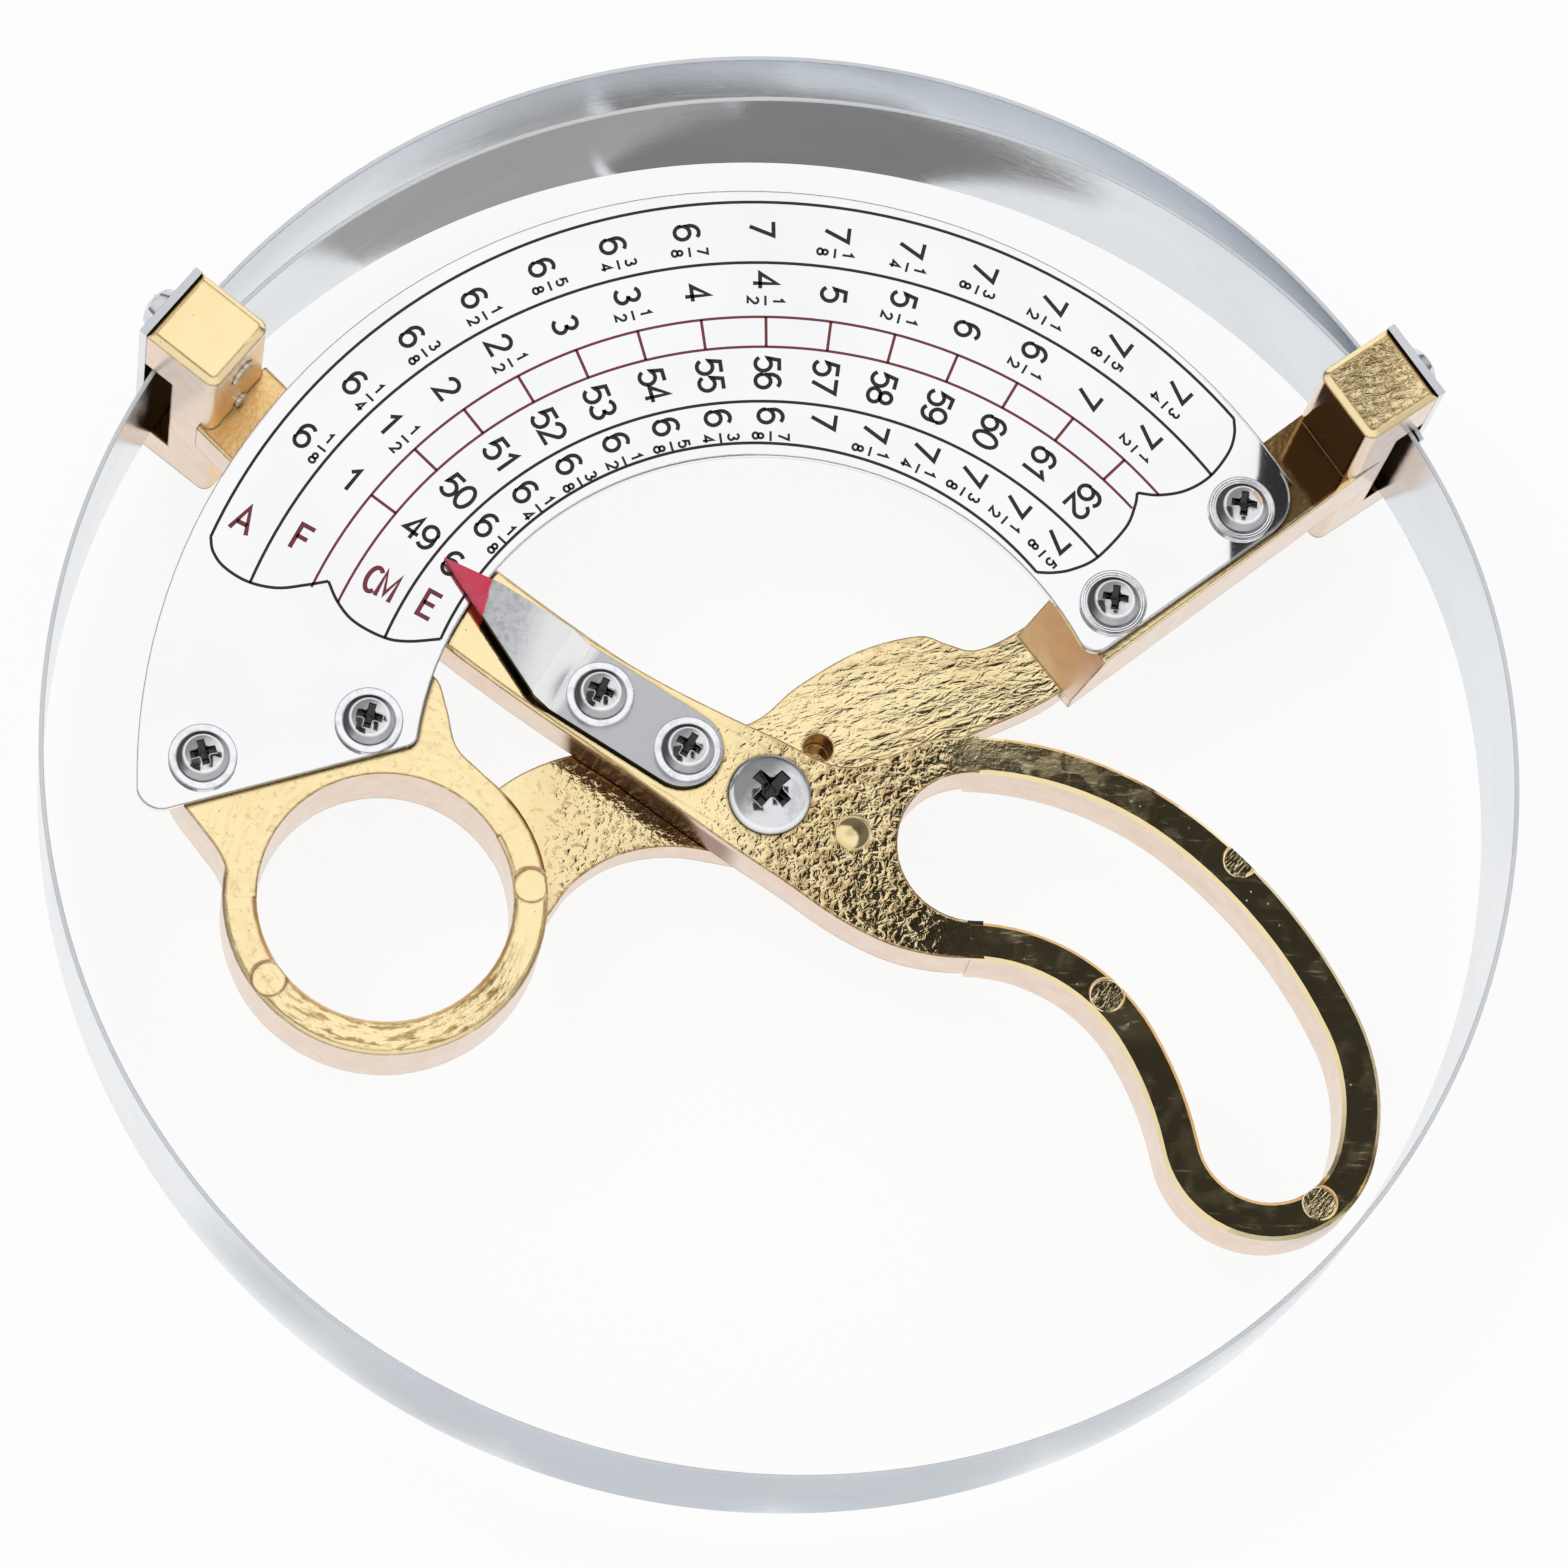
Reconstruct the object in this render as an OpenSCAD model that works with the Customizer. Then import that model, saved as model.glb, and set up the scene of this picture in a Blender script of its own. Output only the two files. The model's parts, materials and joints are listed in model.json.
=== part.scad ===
// Hat sizing gauge: two scissor arms set the size of a spring steel band
// and a pointer reads it on a curved scale.
// Plan origin: centre of the band's loop. Height zero: the foot of the two posts.

/* [Band] */
// Outer radius of the band's loop at the smallest size
band_r = 78; // [76:0.5:80]
// Width of the strip, along the height of the gauge
band_w = 18; // [17:0.5:19]
// Thickness of the strip
band_t = 0.5; // [0.4:0.05:0.6]
// Height of the strip's lower edge above the foot of the posts
band_lift = 6; // [5.5:0.5:7]

/* [Posts] */
// Side of the square posts
post_w = 9.2; // [8.8:0.1:9.6]
// Height of the posts
post_h = 33.3; // [32:0.1:35]
// Depth of the band's pocket behind the keeper
pocket_d = 3.7; // [3.6:0.1:3.9]
// Radius of the inner corners of the posts
post_corner = 1.2; // [0.6:0.1:1.6]
// Width of the broken edge round a post's top
post_rim = 0.7; // [0.4:0.1:1]
// Thickness of the keeper plates
keeper_t = 0.9; // [0.7:0.1:1.2]

/* [Arms] */
// Height of the pointer arm's top face
arm_top = 19.2; // [18.8:0.1:19.6]
// Thickness of the pointer arm at the bar and the web
arm_t = 6.1; // [5.6:0.1:6.4]
// Width of the pointer arm's bar
bar_w = 10.2; // [9.6:0.1:10.8]
// Turn of the bar's gentle bow, in degrees
bar_bow = 16.5; // [14:0.5:18]
// Width of the scale arm's bar
scale_bar_w = 9.2; // [8.8:0.1:9.6]
// Thickness of the scale arm's lap under the pivot
lap_t = 4.2; // [3.8:0.1:4.6]
// Run of the sloped step between the lap and the bar
step_run = 3.6; // [3:0.1:4.2]

/* [Handles] */
// Bore of the finger ring
ring_bore = 26.8; // [25:0.1:28]
// Wall of the finger ring
ring_wall = 3.6; // [3.2:0.1:4.2]
// Thickness of the finger ring and the scale arm's bar
ring_t = 9; // [8.4:0.1:9.4]
// Width of the loop handle's bar
loop_w = 4.1; // [3.6:0.1:4.6]
// Thickness of the loop handle
loop_t = 7.4; // [7:0.1:8]
// Edge break of the handles
edge = 0.4; // [0.3:0.1:0.8]

/* [Scale plate] */
// Difference between the band's radius and the radius of the plate's outer edge
plate_gap = 11.6; // [11:0.1:12.4]
// Depth of the plate from its outer to its inner edge
plate_w = 28.9; // [28:0.1:29.6]
// Thickness of the plate
plate_t = 0.8; // [0.6:0.1:1]

/* [Pointer] */
// Width of the pointer
pointer_w = 8.4; // [7.8:0.1:9]
// Thickness of the pointer
pointer_t = 0.8; // [0.6:0.1:1]
// Gap between the pointer and the plate
pointer_gap = 0.5; // [0.4:0.1:0.7]

/* [Screws] */
// Head diameter of the small pan screws
head_d = 5.4; // [5:0.1:5.8]
// Shank diameter of the small pan screws
shank_d = 2.4; // [2:0.1:2.6]
// Outer diameter of the washers
washer_d = 7.2; // [6.6:0.1:7.4]
// Thickness of the washers
washer_t = 0.5; // [0.4:0.1:0.6]
// Head diameter of the keeper screws
keeper_head_d = 5.6; // [5:0.1:6]
// Shank diameter of the keeper screws
keeper_shank_d = 3; // [2.6:0.1:3.2]
// Shank diameter of the band rivets
rivet_d = 1.6; // [1.4:0.1:1.8]
// Head diameter of the pivot screw
pivot_head_d = 8.7; // [8:0.1:9.2]
// Shoulder diameter of the pivot screw
pivot_d = 5; // [4.6:0.1:5.4]

/* [Fits] */
// Gap between parts that slide flat on each other
slide_gap = 0.3; // [0.2:0.05:0.4]
// Gap between the band and the flat faces it passes or lies on
band_gap = 0.2; // [0.15:0.05:0.25]
// Radial clearance of the pivot shoulder in the pointer arm
run_gap = 0.05; // [0.02:0.01:0.1]
// Radial clearance of screws and rivets in their holes
hole_gap = 0.06; // [0.04:0.01:0.1]

/* [Hidden] */
$fn = 96;
// Length by which a lapped bend runs into its neighbours, and the hair by which it is larger
lap = 0.3;
hair = 0.01;
gold = [0.84, 0.69, 0.36];
steel = [0.76, 0.77, 0.79];
// Plan scale that keeps the arms in step with the loop
k = band_r / 78;
pivot = [-1.4, -3.9] * k;
ring_c = [-41.8, -15.7] * k;
ring_r = ring_bore / 2;
// Facing of each post and its offset along the band
left_face = 141;
left_shift = 6.06 * k;
right_face = 34.5;
right_shift = -3.87 * k;
// Plane of the posts' outer faces, measured from the loop's centre
face_r = band_r + band_gap;
post_r = face_r - post_w / 2;
left_c = post_r * u(left_face) + left_shift * u(left_face + 90);
right_c = post_r * u(right_face) + right_shift * u(right_face + 90);
// Heights of the pocket
pocket_z0 = band_lift - slide_gap * 2;
pocket_z1 = band_lift + band_w + slide_gap * 2;
keeper_z0 = pocket_z0 - 1;
screw_z = post_h - 4.8;
rivet_z = arm_top + 1.2;
// Levels of the arms and the plate
arm_z0 = arm_top - arm_t;
loop_z0 = arm_top - loop_t;
seat = arm_top + slide_gap + 0.1;
ring_z0 = seat - ring_t;
lap_z1 = arm_z0 - slide_gap;
lap_z0 = lap_z1 - lap_t;
plate_z1 = seat + plate_t;
plate_ro = band_r - plate_gap;
plate_ri = plate_ro - plate_w;
plate_rise = [0, 1.3 * k];
step_z = plate_z1 + pointer_gap;
// Bends of the band: the inward bend is tight enough to bring the inner layer to the left pocket's wall
in_at = 8;
in_turn = 31;
top_r = band_r + 2;
inner_x = cos(left_face - in_at - in_turn);
in_r = band_r - (pocket_d - 2 * band_gap - band_t + (top_r - band_r) * (1 - inner_x))
    / (inner_x - cos(left_face - in_at));
in_c = (band_r - in_r) * u(in_at);
top_c = in_c + (in_r - top_r) * u(in_at + in_turn);
outer_end = 27.3;
inner_end = 144.6;
// Axis of the scale arm's bar
bar_dir = 37.4;
// Holes of the plate along the bar and on the ears
scale_at = [
    on_bar(plate_ro - 5.8),
    on_bar(plate_ri + 5.3),
    pivot + (plate_ri + 5.3) * u(170.6),
    pivot + (plate_ro - 6.8) * u(177.4)
];
// Pointer axis, from the screw by the pivot to the tip
pointer_dir = 147.3;
pointer_c = pivot + [-8.7, 4.5] * k;
pointer_pitch = 10.9 * k;
pointer_at = [pointer_c, pointer_c + pointer_pitch * u(pointer_dir)];
// Bends of the loop handle: radius and turn, from the web's upper side round to its lower side
loop_start = [20, 1] * k;
loop_head = -0.66;
loop_bends = [[37.1, -37.6], [55, -27.9], [21.1, -41.2], [9.5, -152.5], [38.1, 19.2], [19.9, 59.7]];

// Unit vector at an angle
function u(a) = [cos(a), sin(a)];

// Point on the scale bar's axis at a radius about the pivot
function on_bar(r) =
    let(d = u(bar_dir), q = right_c - pivot, b = q * d)
    right_c + (sqrt(b * b - q * q + r * r) - b) * d;

// Smooth open curve through control points
function blend3(a, b, c, d, t) =
    0.5 * (2 * b + (c - a) * t + (2 * a - 5 * b + 4 * c - d) * t * t + (3 * b - a - 3 * c + d) * t * t * t);
function curve(p, n = 5) =
    let(m = len(p))
    concat([for (i = [0 : m - 2], s = [0 : n - 1])
        blend3(i > 0 ? p[i - 1] : 2 * p[0] - p[1], p[i], p[i + 1],
            i < m - 2 ? p[i + 2] : 2 * p[m - 1] - p[m - 2], s / n)], [p[m - 1]]);

// Distance along a line from a point to a circle about the origin
function reach(p, d, r) = sqrt((p * d) * (p * d) - p * p + r * r) - p * d;

// Place and heading after a bend
function bend_side(a) = a > 0 ? 90 : -90;
function bend_c(p, h, r, a) = p + r * u(h + bend_side(a));
function bend_end(p, h, r, a) = bend_c(p, h, r, a) + r * u(h - bend_side(a) + a);
function walk(p, h, list, n) =
    n == 0 ? [p, h] :
    let(q = walk(p, h, list, n - 1), b = list[n - 1])
    [bend_end(q[0], q[1], b[0] * k, b[1]), q[1] + b[1]];

// Flat bar section with broken edges, centred on its width
module bar_section(w, t, c) {
    polygon([[-w / 2, c], [c - w / 2, 0], [w / 2 - c, 0], [w / 2, c],
        [w / 2, t - c], [w / 2 - c, t], [c - w / 2, t], [-w / 2, t - c]]);
}

// One bend of a bar; a lapped bend is a hair larger and runs on into its neighbours
module bend(p, h, r, a, w, t, c, lapped = 0) {
    more = lapped * lap / r * 180 / PI;
    grow = lapped * hair;
    translate(bend_c(p, h, r, a))
        rotate((a > 0 ? h - 90 : h + 90 + a) - more)
            rotate_extrude(angle = abs(a) + 2 * more, $fn = 180)
                translate([r, -grow])
                    bar_section(w + 2 * grow, t + 2 * grow, c);
}

// One arc of the strip about a centre, from its outer radius; a lapped arc runs on into its neighbours
module strip(c, r, from, to, lapped = 0) {
    more = lapped * lap / r * 180 / PI;
    grow = lapped * hair;
    translate([c[0], c[1], band_lift - grow])
        rotate(from - more)
            rotate_extrude(angle = to - from + 2 * more, $fn = 240)
                translate([r - band_t - grow, 0])
                    square([band_t + 2 * grow, band_w + 2 * grow]);
}

// Cylinder along the facing of a post, between two distances from the loop's centre
module post_pin(c, face, d, from, to, z) {
    base = c - (c * u(face)) * u(face);
    translate([base[0], base[1], z])
        rotate(face)
            rotate([0, 90, 0])
                translate([0, 0, from])
                    cylinder(d = d, h = to - from, $fn = 48);
}

// Square post with a broken edge round its top, its pocket and the keeper screw's hole
module post(c, face, wall) {
    difference() {
        translate(c)
            rotate(face)
                hull() {
                    linear_extrude(post_h - post_rim)
                        post_plan();
                    linear_extrude(post_h)
                        offset(delta = -post_rim)
                            post_plan();
                }
        translate([c[0], c[1], pocket_z0])
            rotate(face)
                translate([post_w / 2 - pocket_d, -post_w, 0])
                    cube([post_w, post_w * 2, pocket_z1 - pocket_z0]);
        post_pin(c, face, keeper_shank_d + 2 * hole_gap, face_r - post_w + wall, face_r + 2, screw_z);
    }
}

// Plan of a post: square corners outside, rounded corners inside
module post_plan() {
    h = post_w / 2;
    r = post_corner;
    translate([r - h, -h])
        square([post_w - r, post_w]);
    translate([-h, r - h])
        square([post_w, post_w - 2 * r]);
    for (s = [-1, 1])
        translate([r - h, s * (h - r)])
            circle(r);
}

// Keeper plate on a post's outer face
module keeper(c, face) {
    difference() {
        translate([c[0], c[1], keeper_z0])
            rotate(face)
                translate([post_w / 2, -post_w / 2, 0])
                    cube([keeper_t, post_w, post_h - 0.3 - keeper_z0]);
        post_pin(c, face, keeper_shank_d + 2 * hole_gap, face_r - 1, face_r + keeper_t + 1, screw_z);
    }
}

// Head with a dome of a ball's radius and a tapered cross recess, standing on height zero
module cross_head(d, h, ball) {
    slot = d * 0.15;
    difference() {
        intersection() {
            cylinder(d = d, h = h);
            translate([0, 0, h - ball])
                sphere(ball, $fn = 96);
        }
        for (a = [0, 90])
            rotate([90, 0, a])
                translate([0, 0, -slot / 2])
                    linear_extrude(slot)
                        polygon([[-0.28 * d, h + 1], [-0.25 * d, h * 0.66], [-0.08 * d, h * 0.24],
                            [0.08 * d, h * 0.24], [0.25 * d, h * 0.66], [0.28 * d, h + 1]]);
        translate([0, 0, h * 0.18])
            cylinder(d1 = d * 0.13, d2 = d * 0.3, h = h, $fn = 24);
    }
}

// Pan head with a steep side below its dome
module pan_head(d, h) {
    intersection() {
        cross_head(d, h, (0.1444 * d * d + 0.1024 * h * h) / (0.64 * h));
        translate([0, 0, -h * 0.1])
            cylinder(r1 = d * 0.557, r2 = d * 0.308, h = h * 1.1);
    }
}

// Small pan screw with its head resting at a height and its recess turned to an angle
module small_screw(at, z, length, turned) {
    translate([at[0], at[1], z]) {
        rotate(turned)
            pan_head(head_d, head_d * 0.35);
        translate([0, 0, -length])
            cylinder(d = shank_d, h = length + 0.2, $fn = 48);
    }
}

// Plain washer
module washer(at, z) {
    translate([at[0], at[1], z])
        difference() {
            cylinder(d = washer_d, h = washer_t);
            translate([0, 0, -1])
                cylinder(d = shank_d + 4 * hole_gap, h = washer_t + 2, $fn = 48);
        }
}

// Tapped hole below a height
module tapped(at, z, depth) {
    translate([at[0], at[1], z - depth])
        cylinder(d = shank_d + 2 * hole_gap, h = depth + 1, $fn = 48);
}

// Shallow round mark left by the mould
module mould_mark(at, z) {
    translate([at[0], at[1], z - 0.35])
        cylinder(r1 = 1.8, r2 = 2, h = 0.5, $fn = 48);
}

// Keeper screw from its head to its tip, which ends short of the post's inner face or stands out of it
module keeper_screw(c, face, short) {
    head_r = face_r + keeper_t;
    base = c - (c * u(face)) * u(face);
    post_pin(c, face, keeper_shank_d, face_r - post_w + short, head_r + 0.2, screw_z);
    translate([base[0], base[1], screw_z])
        rotate(face)
            rotate([0, 90, 0])
                translate([0, 0, head_r])
                    pan_head(keeper_head_d, keeper_head_d * 0.4);
}

// Rounded cut at a corner whose edges leave at two angles
module corner_cut(q, a1, a2, r) {
    mid = (a1 + a2) / 2;
    half = abs(a2 - a1) / 2;
    far = r / tan(half);
    difference() {
        polygon([q - u(mid), q + far * u(a1), q + r / sin(half) * u(mid), q + far * u(a2)]);
        translate(q + r / sin(half) * u(mid))
            circle(r);
    }
}

// Plan of the scale plate about the pivot: a ring sector with two slanted ends
module plate_plan() {
    lp = [-39.1, 4.1] * k;
    la = 196.1;
    rp = [35.9, 16.2] * k;
    ra = 36.4;
    far = 60 * k;
    lo = lp + reach(lp - plate_rise, u(la), plate_ro) * u(la);
    li = lp + reach(lp, u(la), plate_ri) * u(la);
    ro = rp + reach(rp - plate_rise, u(ra), plate_ro) * u(ra);
    ri = rp + reach(rp, u(ra), plate_ri) * u(ra);
    difference() {
        intersection() {
            difference() {
                translate(plate_rise)
                    circle(plate_ro, $fn = 180);
                circle(plate_ri, $fn = 180);
            }
            polygon([lp + far * u(la), lp - 20 * k * u(la), rp - 20 * k * u(ra), rp + far * u(ra),
                [far * 2, far * 2], [-far * 2, far * 2]]);
        }
        corner_cut(lo, la - 180, 94, 2.6);
        corner_cut(li, la, 81, 1.4);
        corner_cut(ro, ra + 180, 124, 5);
        corner_cut(ri, ra, 116, 2);
    }
}

// Outline of the lap that runs under the pivot from the finger ring to the scale bar
module lap_plan() {
    upper = [[-31.8, -3.5], [-27, 0], [-21, 2.3], [-11, 4], [-2.6, 6], [2.5, 10.2], [9, 14.2], [15.5, 16.1],
        [18.6, 15.3], [21.5, 14.6], [25, 16], [30, 19.3], [34, 21.8]] * k;
    lower = [[39, 16], [35, 13.2], [29, 8.9], [22, 5.5], [14, 1.5], [7, -5], [2, -9.4], [-4, -8.8], [-11, -7.8],
        [-17, -8.9], [-21.5, -11.8], [-23.9, -15], [-26, -18]] * k;
    polygon(concat(curve(upper), curve(lower)));
}

// Outline of the ears that carry the plate beside the finger ring
module ear_plan() {
    ears = [[-57.4, -16], [-59, -11.5], [-61.4, -8.1], [-64, -4.4], [-64.6, -0.6], [-61.5, 2.6], [-54, 3.6],
        [-47, 7.2], [-41, 8.8], [-36.8, 8.5], [-35.4, 5], [-34.4, 0.8], [-31.9, -1.9], [-29.4, -4.5],
        [-27.9, -7.7]] * k;
    polygon(concat(curve(ears), [ring_c]));
}

// Outline of the pointer arm's web about the pivot
module web_plan() {
    upper = [[-20, 12.7], [-13, 8.5], [-6, 4.9], [0, 2.1], [4.5, -0.2], [8, -0.6], [12, 0.8], [16, 2.5],
        [21, 3.05]] * k;
    lower = [[21, -21.45], [16, -21.2], [11, -20], [5.5, -17.2], [0, -13.3], [-6, -9.2], [-13, -4.1],
        [-22, 2.5]] * k;
    polygon(concat(curve(upper), curve(lower)));
}

module ring_arm() {
    bar_l = norm(right_c - pivot) - plate_ri - 0.6;
    color(gold)
    difference() {
        union() {
            translate([ring_c[0], ring_c[1], ring_z0 + hair])
                rotate_extrude($fn = 180)
                    translate([ring_r + ring_wall / 2, 0])
                        bar_section(ring_wall, ring_t - 2 * hair, edge);
            translate([0, 0, ring_z0])
                linear_extrude(ring_t)
                    ear_plan();
            translate([0, 0, lap_z0])
                linear_extrude(lap_t)
                    lap_plan();
            translate([right_c[0], right_c[1], 0])
                rotate([90, 0, bar_dir + 180])
                    translate([0, 0, -scale_bar_w / 2])
                        linear_extrude(scale_bar_w)
                            polygon([[0, ring_z0], [bar_l + step_run, ring_z0], [bar_l + step_run, lap_z1],
                                [bar_l, seat], [0, seat]]);
            post(right_c, right_face, 1.6);
        }
        translate([ring_c[0], ring_c[1], ring_z0 - 1])
            cylinder(r = ring_r, h = ring_t + 2, $fn = 180);
        translate([pivot[0], pivot[1], lap_z0 - 1])
            cylinder(d = pivot_d - 1 + 2 * hole_gap, h = lap_t + 2, $fn = 64);
        translate([4.6 * k, 3.3 * k, lap_z0 + 0.8])
            cylinder(r = 1.6, h = lap_t + 2, $fn = 48);
        for (p = scale_at)
            tapped(p, seat, 6);
        mould_mark([-26.6, -14.2] * k, seat);
        mould_mark([-53.9, -24.7] * k, seat);
    }
}

module scale_plate() {
    color(steel)
    difference() {
        translate([pivot[0], pivot[1], seat])
            linear_extrude(plate_t)
                plate_plan();
        for (p = scale_at)
            translate([p[0], p[1], seat - 1])
                cylinder(d = shank_d + 4 * hole_gap, h = plate_t + 2, $fn = 48);
    }
}

module scale_screw_1() {
    color(steel)
    small_screw(scale_at[0], plate_z1 + washer_t, plate_t + washer_t + 5, 83);
}

module scale_screw_2() {
    color(steel)
    small_screw(scale_at[1], plate_z1 + washer_t, plate_t + washer_t + 5, 82);
}

module scale_screw_3() {
    color(steel)
    small_screw(scale_at[2], plate_z1 + washer_t, plate_t + washer_t + 5, 75);
}

module scale_screw_4() {
    color(steel)
    small_screw(scale_at[3], plate_z1 + washer_t, plate_t + washer_t + 5, 15);
}

module scale_washer_1() {
    color(steel)
    washer(scale_at[0], plate_z1);
}

module scale_washer_2() {
    color(steel)
    washer(scale_at[1], plate_z1);
}

module scale_washer_3() {
    color(steel)
    washer(scale_at[2], plate_z1);
}

module scale_washer_4() {
    color(steel)
    washer(scale_at[3], plate_z1);
}

module pivot_screw() {
    color(steel)
    translate([pivot[0], pivot[1], 0]) {
        translate([0, 0, arm_top + run_gap])
            rotate(45)
                cross_head(pivot_head_d, pivot_head_d * 0.34, pivot_head_d * 0.56);
        translate([0, 0, lap_z1])
            cylinder(d = pivot_d, h = arm_top + run_gap + 0.2 - lap_z1, $fn = 64);
        translate([0, 0, lap_z0 - 0.8])
            cylinder(d = pivot_d - 1, h = lap_t + 1, $fn = 64);
    }
}

module right_keeper() {
    color(steel)
    difference() {
        keeper(right_c, right_face);
        post_pin(right_c, right_face, rivet_d + 2 * hole_gap, face_r - 1, face_r + keeper_t + 1, rivet_z);
    }
}

module right_keeper_screw() {
    color(steel)
    keeper_screw(right_c, right_face, 2);
}

module right_band_rivet() {
    color(steel) {
        post_pin(right_c, right_face, rivet_d, face_r - 1, face_r + keeper_t + 0.2, rivet_z);
        post_pin(right_c, right_face, rivet_d * 1.8, face_r - 1.15, face_r - 0.9, rivet_z);
        post_pin(right_c, right_face, rivet_d * 1.8, face_r + keeper_t, face_r + keeper_t + 0.5, rivet_z);
    }
}

module sizing_band() {
    color(steel)
    difference() {
        union() {
            strip([0, 0], band_r, outer_end, 360 + in_at);
            strip(in_c, in_r, in_at, in_at + in_turn, 1);
            strip(top_c, top_r, in_at + in_turn, inner_end);
        }
        post_pin(right_c, right_face, rivet_d + 2 * hole_gap, face_r - 1.05, face_r + 1, rivet_z);
        post_pin(left_c, left_face, rivet_d + 2 * hole_gap, face_r - pocket_d - 1, face_r - pocket_d + 1.2, rivet_z);
    }
}

module loop_arm() {
    start = pivot + [-0.9, -0.3] * k;
    finish = left_c - (post_w / 2 - 1) * u(left_face);
    run = finish - start;
    bow_r = norm(run) / (2 * sin(bar_bow / 2));
    aim = atan2(run[1], run[0]) + bar_bow / 2;
    n = len(loop_bends);
    color(gold)
    difference() {
        union() {
            translate([0, 0, arm_z0])
                bend(start, aim, bow_r, -bar_bow, bar_w, arm_t, 0.3);
            difference() {
                translate([0, 0, arm_z0 + hair])
                    linear_extrude(arm_t - 2 * hair)
                        web_plan();
                translate([20.2 * k, -9.2 * k, arm_z0 - 1])
                    cylinder(r = 8.15 * k, h = arm_t + 2);
                translate([20.2 * k, -17.35 * k, arm_z0 - 1])
                    cube([10 * k, 16.3 * k, arm_t + 2]);
            }
            translate([0, 0, loop_z0])
                for (i = [0 : n - 1]) {
                    at = walk(loop_start, loop_head, loop_bends, i);
                    bend(at[0], at[1], loop_bends[i][0] * k, loop_bends[i][1], loop_w, loop_t, edge, i % 2);
                }
            post(left_c, left_face, -2);
        }
        translate([pivot[0], pivot[1], arm_z0 - 1])
            cylinder(r = pivot_d / 2 + run_gap, h = arm_t + 2, $fn = 64);
        translate([7.4 * k, -7.9 * k, arm_top + 2.6])
            sphere(3.2, $fn = 96);
        for (p = pointer_at)
            tapped(p, arm_top, 4.6);
        post_pin(left_c, left_face, rivet_d + 2 * hole_gap, face_r - post_w - 2, face_r - pocket_d + 1, rivet_z);
        mould_mark([48.6, -10.3] * k, arm_top);
        mould_mark([33.9, -25.2] * k, arm_top);
        mould_mark([55.7, -47.4] * k, arm_top);
    }
}

module pointer() {
    h = pointer_w / 2;
    rise = step_z - arm_top;
    bend_at = 15 * k;
    ramp = 2.4;
    tip = 32.6 * k;
    color(steel)
    translate([pointer_c[0], pointer_c[1], arm_top])
        rotate(pointer_dir)
            difference() {
                intersection() {
                    linear_extrude(rise + pointer_t + 1) {
                        polygon([[0.5, -h], [26.1 * k, -h], [tip, -3.3], [16.6 * k, h], [0.5, h]]);
                        translate([0.5, 0])
                            circle(h);
                    }
                    rotate([90, 0, 0])
                        translate([0, 0, -pointer_w])
                            linear_extrude(pointer_w * 2)
                                polygon([[-h * 2, 0], [bend_at, 0], [bend_at + ramp, rise], [tip + 2, rise],
                                    [tip + 2, rise + pointer_t], [bend_at + ramp - 0.4, rise + pointer_t],
                                    [bend_at - 0.4, pointer_t], [-h * 2, pointer_t]]);
                }
                for (x = [0, pointer_pitch])
                    translate([x, 0, -1])
                        cylinder(d = shank_d + 4 * hole_gap, h = pointer_t + 2, $fn = 48);
            }
}

module pointer_screw_1() {
    color(steel)
    small_screw(pointer_at[0], arm_top + pointer_t + washer_t, pointer_t + washer_t + 4, 60);
}

module pointer_screw_2() {
    color(steel)
    small_screw(pointer_at[1], arm_top + pointer_t + washer_t, pointer_t + washer_t + 4, 66);
}

module pointer_washer_1() {
    color(steel)
    washer(pointer_at[0], arm_top + pointer_t);
}

module pointer_washer_2() {
    color(steel)
    washer(pointer_at[1], arm_top + pointer_t);
}

module left_keeper() {
    color(steel)
    keeper(left_c, left_face);
}

module left_keeper_screw() {
    color(steel)
    keeper_screw(left_c, left_face, -0.4);
}

module left_band_rivet() {
    wall = face_r - pocket_d;
    color(steel) {
        post_pin(left_c, left_face, rivet_d, face_r - post_w - 0.4, wall + 1, rivet_z);
        post_pin(left_c, left_face, rivet_d * 1.8, wall + 0.85, wall + 1.2, rivet_z);
    }
}

ring_arm();
scale_plate();
scale_screw_1();
scale_screw_2();
scale_screw_3();
scale_screw_4();
scale_washer_1();
scale_washer_2();
scale_washer_3();
scale_washer_4();
pivot_screw();
right_keeper();
right_keeper_screw();
right_band_rivet();
sizing_band();
loop_arm();
pointer();
pointer_screw_1();
pointer_screw_2();
pointer_washer_1();
pointer_washer_2();
left_keeper();
left_keeper_screw();
left_band_rivet();
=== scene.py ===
import json
import math

import bpy
from mathutils import Matrix, Vector


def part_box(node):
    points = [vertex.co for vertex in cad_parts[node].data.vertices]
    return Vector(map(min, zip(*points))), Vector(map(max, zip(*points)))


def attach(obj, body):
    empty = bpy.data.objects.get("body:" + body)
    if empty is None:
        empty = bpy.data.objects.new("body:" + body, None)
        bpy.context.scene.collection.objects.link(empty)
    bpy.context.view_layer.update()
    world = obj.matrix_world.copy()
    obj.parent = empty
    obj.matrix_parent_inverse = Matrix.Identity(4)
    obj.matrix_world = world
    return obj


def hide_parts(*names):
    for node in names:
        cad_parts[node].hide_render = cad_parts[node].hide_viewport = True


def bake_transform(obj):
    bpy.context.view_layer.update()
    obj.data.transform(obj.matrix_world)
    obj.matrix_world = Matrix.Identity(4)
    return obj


bl_info = {
    "name": "Hat Sizing Gauge",
    "version": (1, 0, 0),
    "blender": (4, 5, 0),
    "location": "View3D > Sidebar > Gauge",
    "description": "Finishes the packed hat sizing gauge: castings, scale print, band and stage",
    "category": "Object",
}

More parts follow.
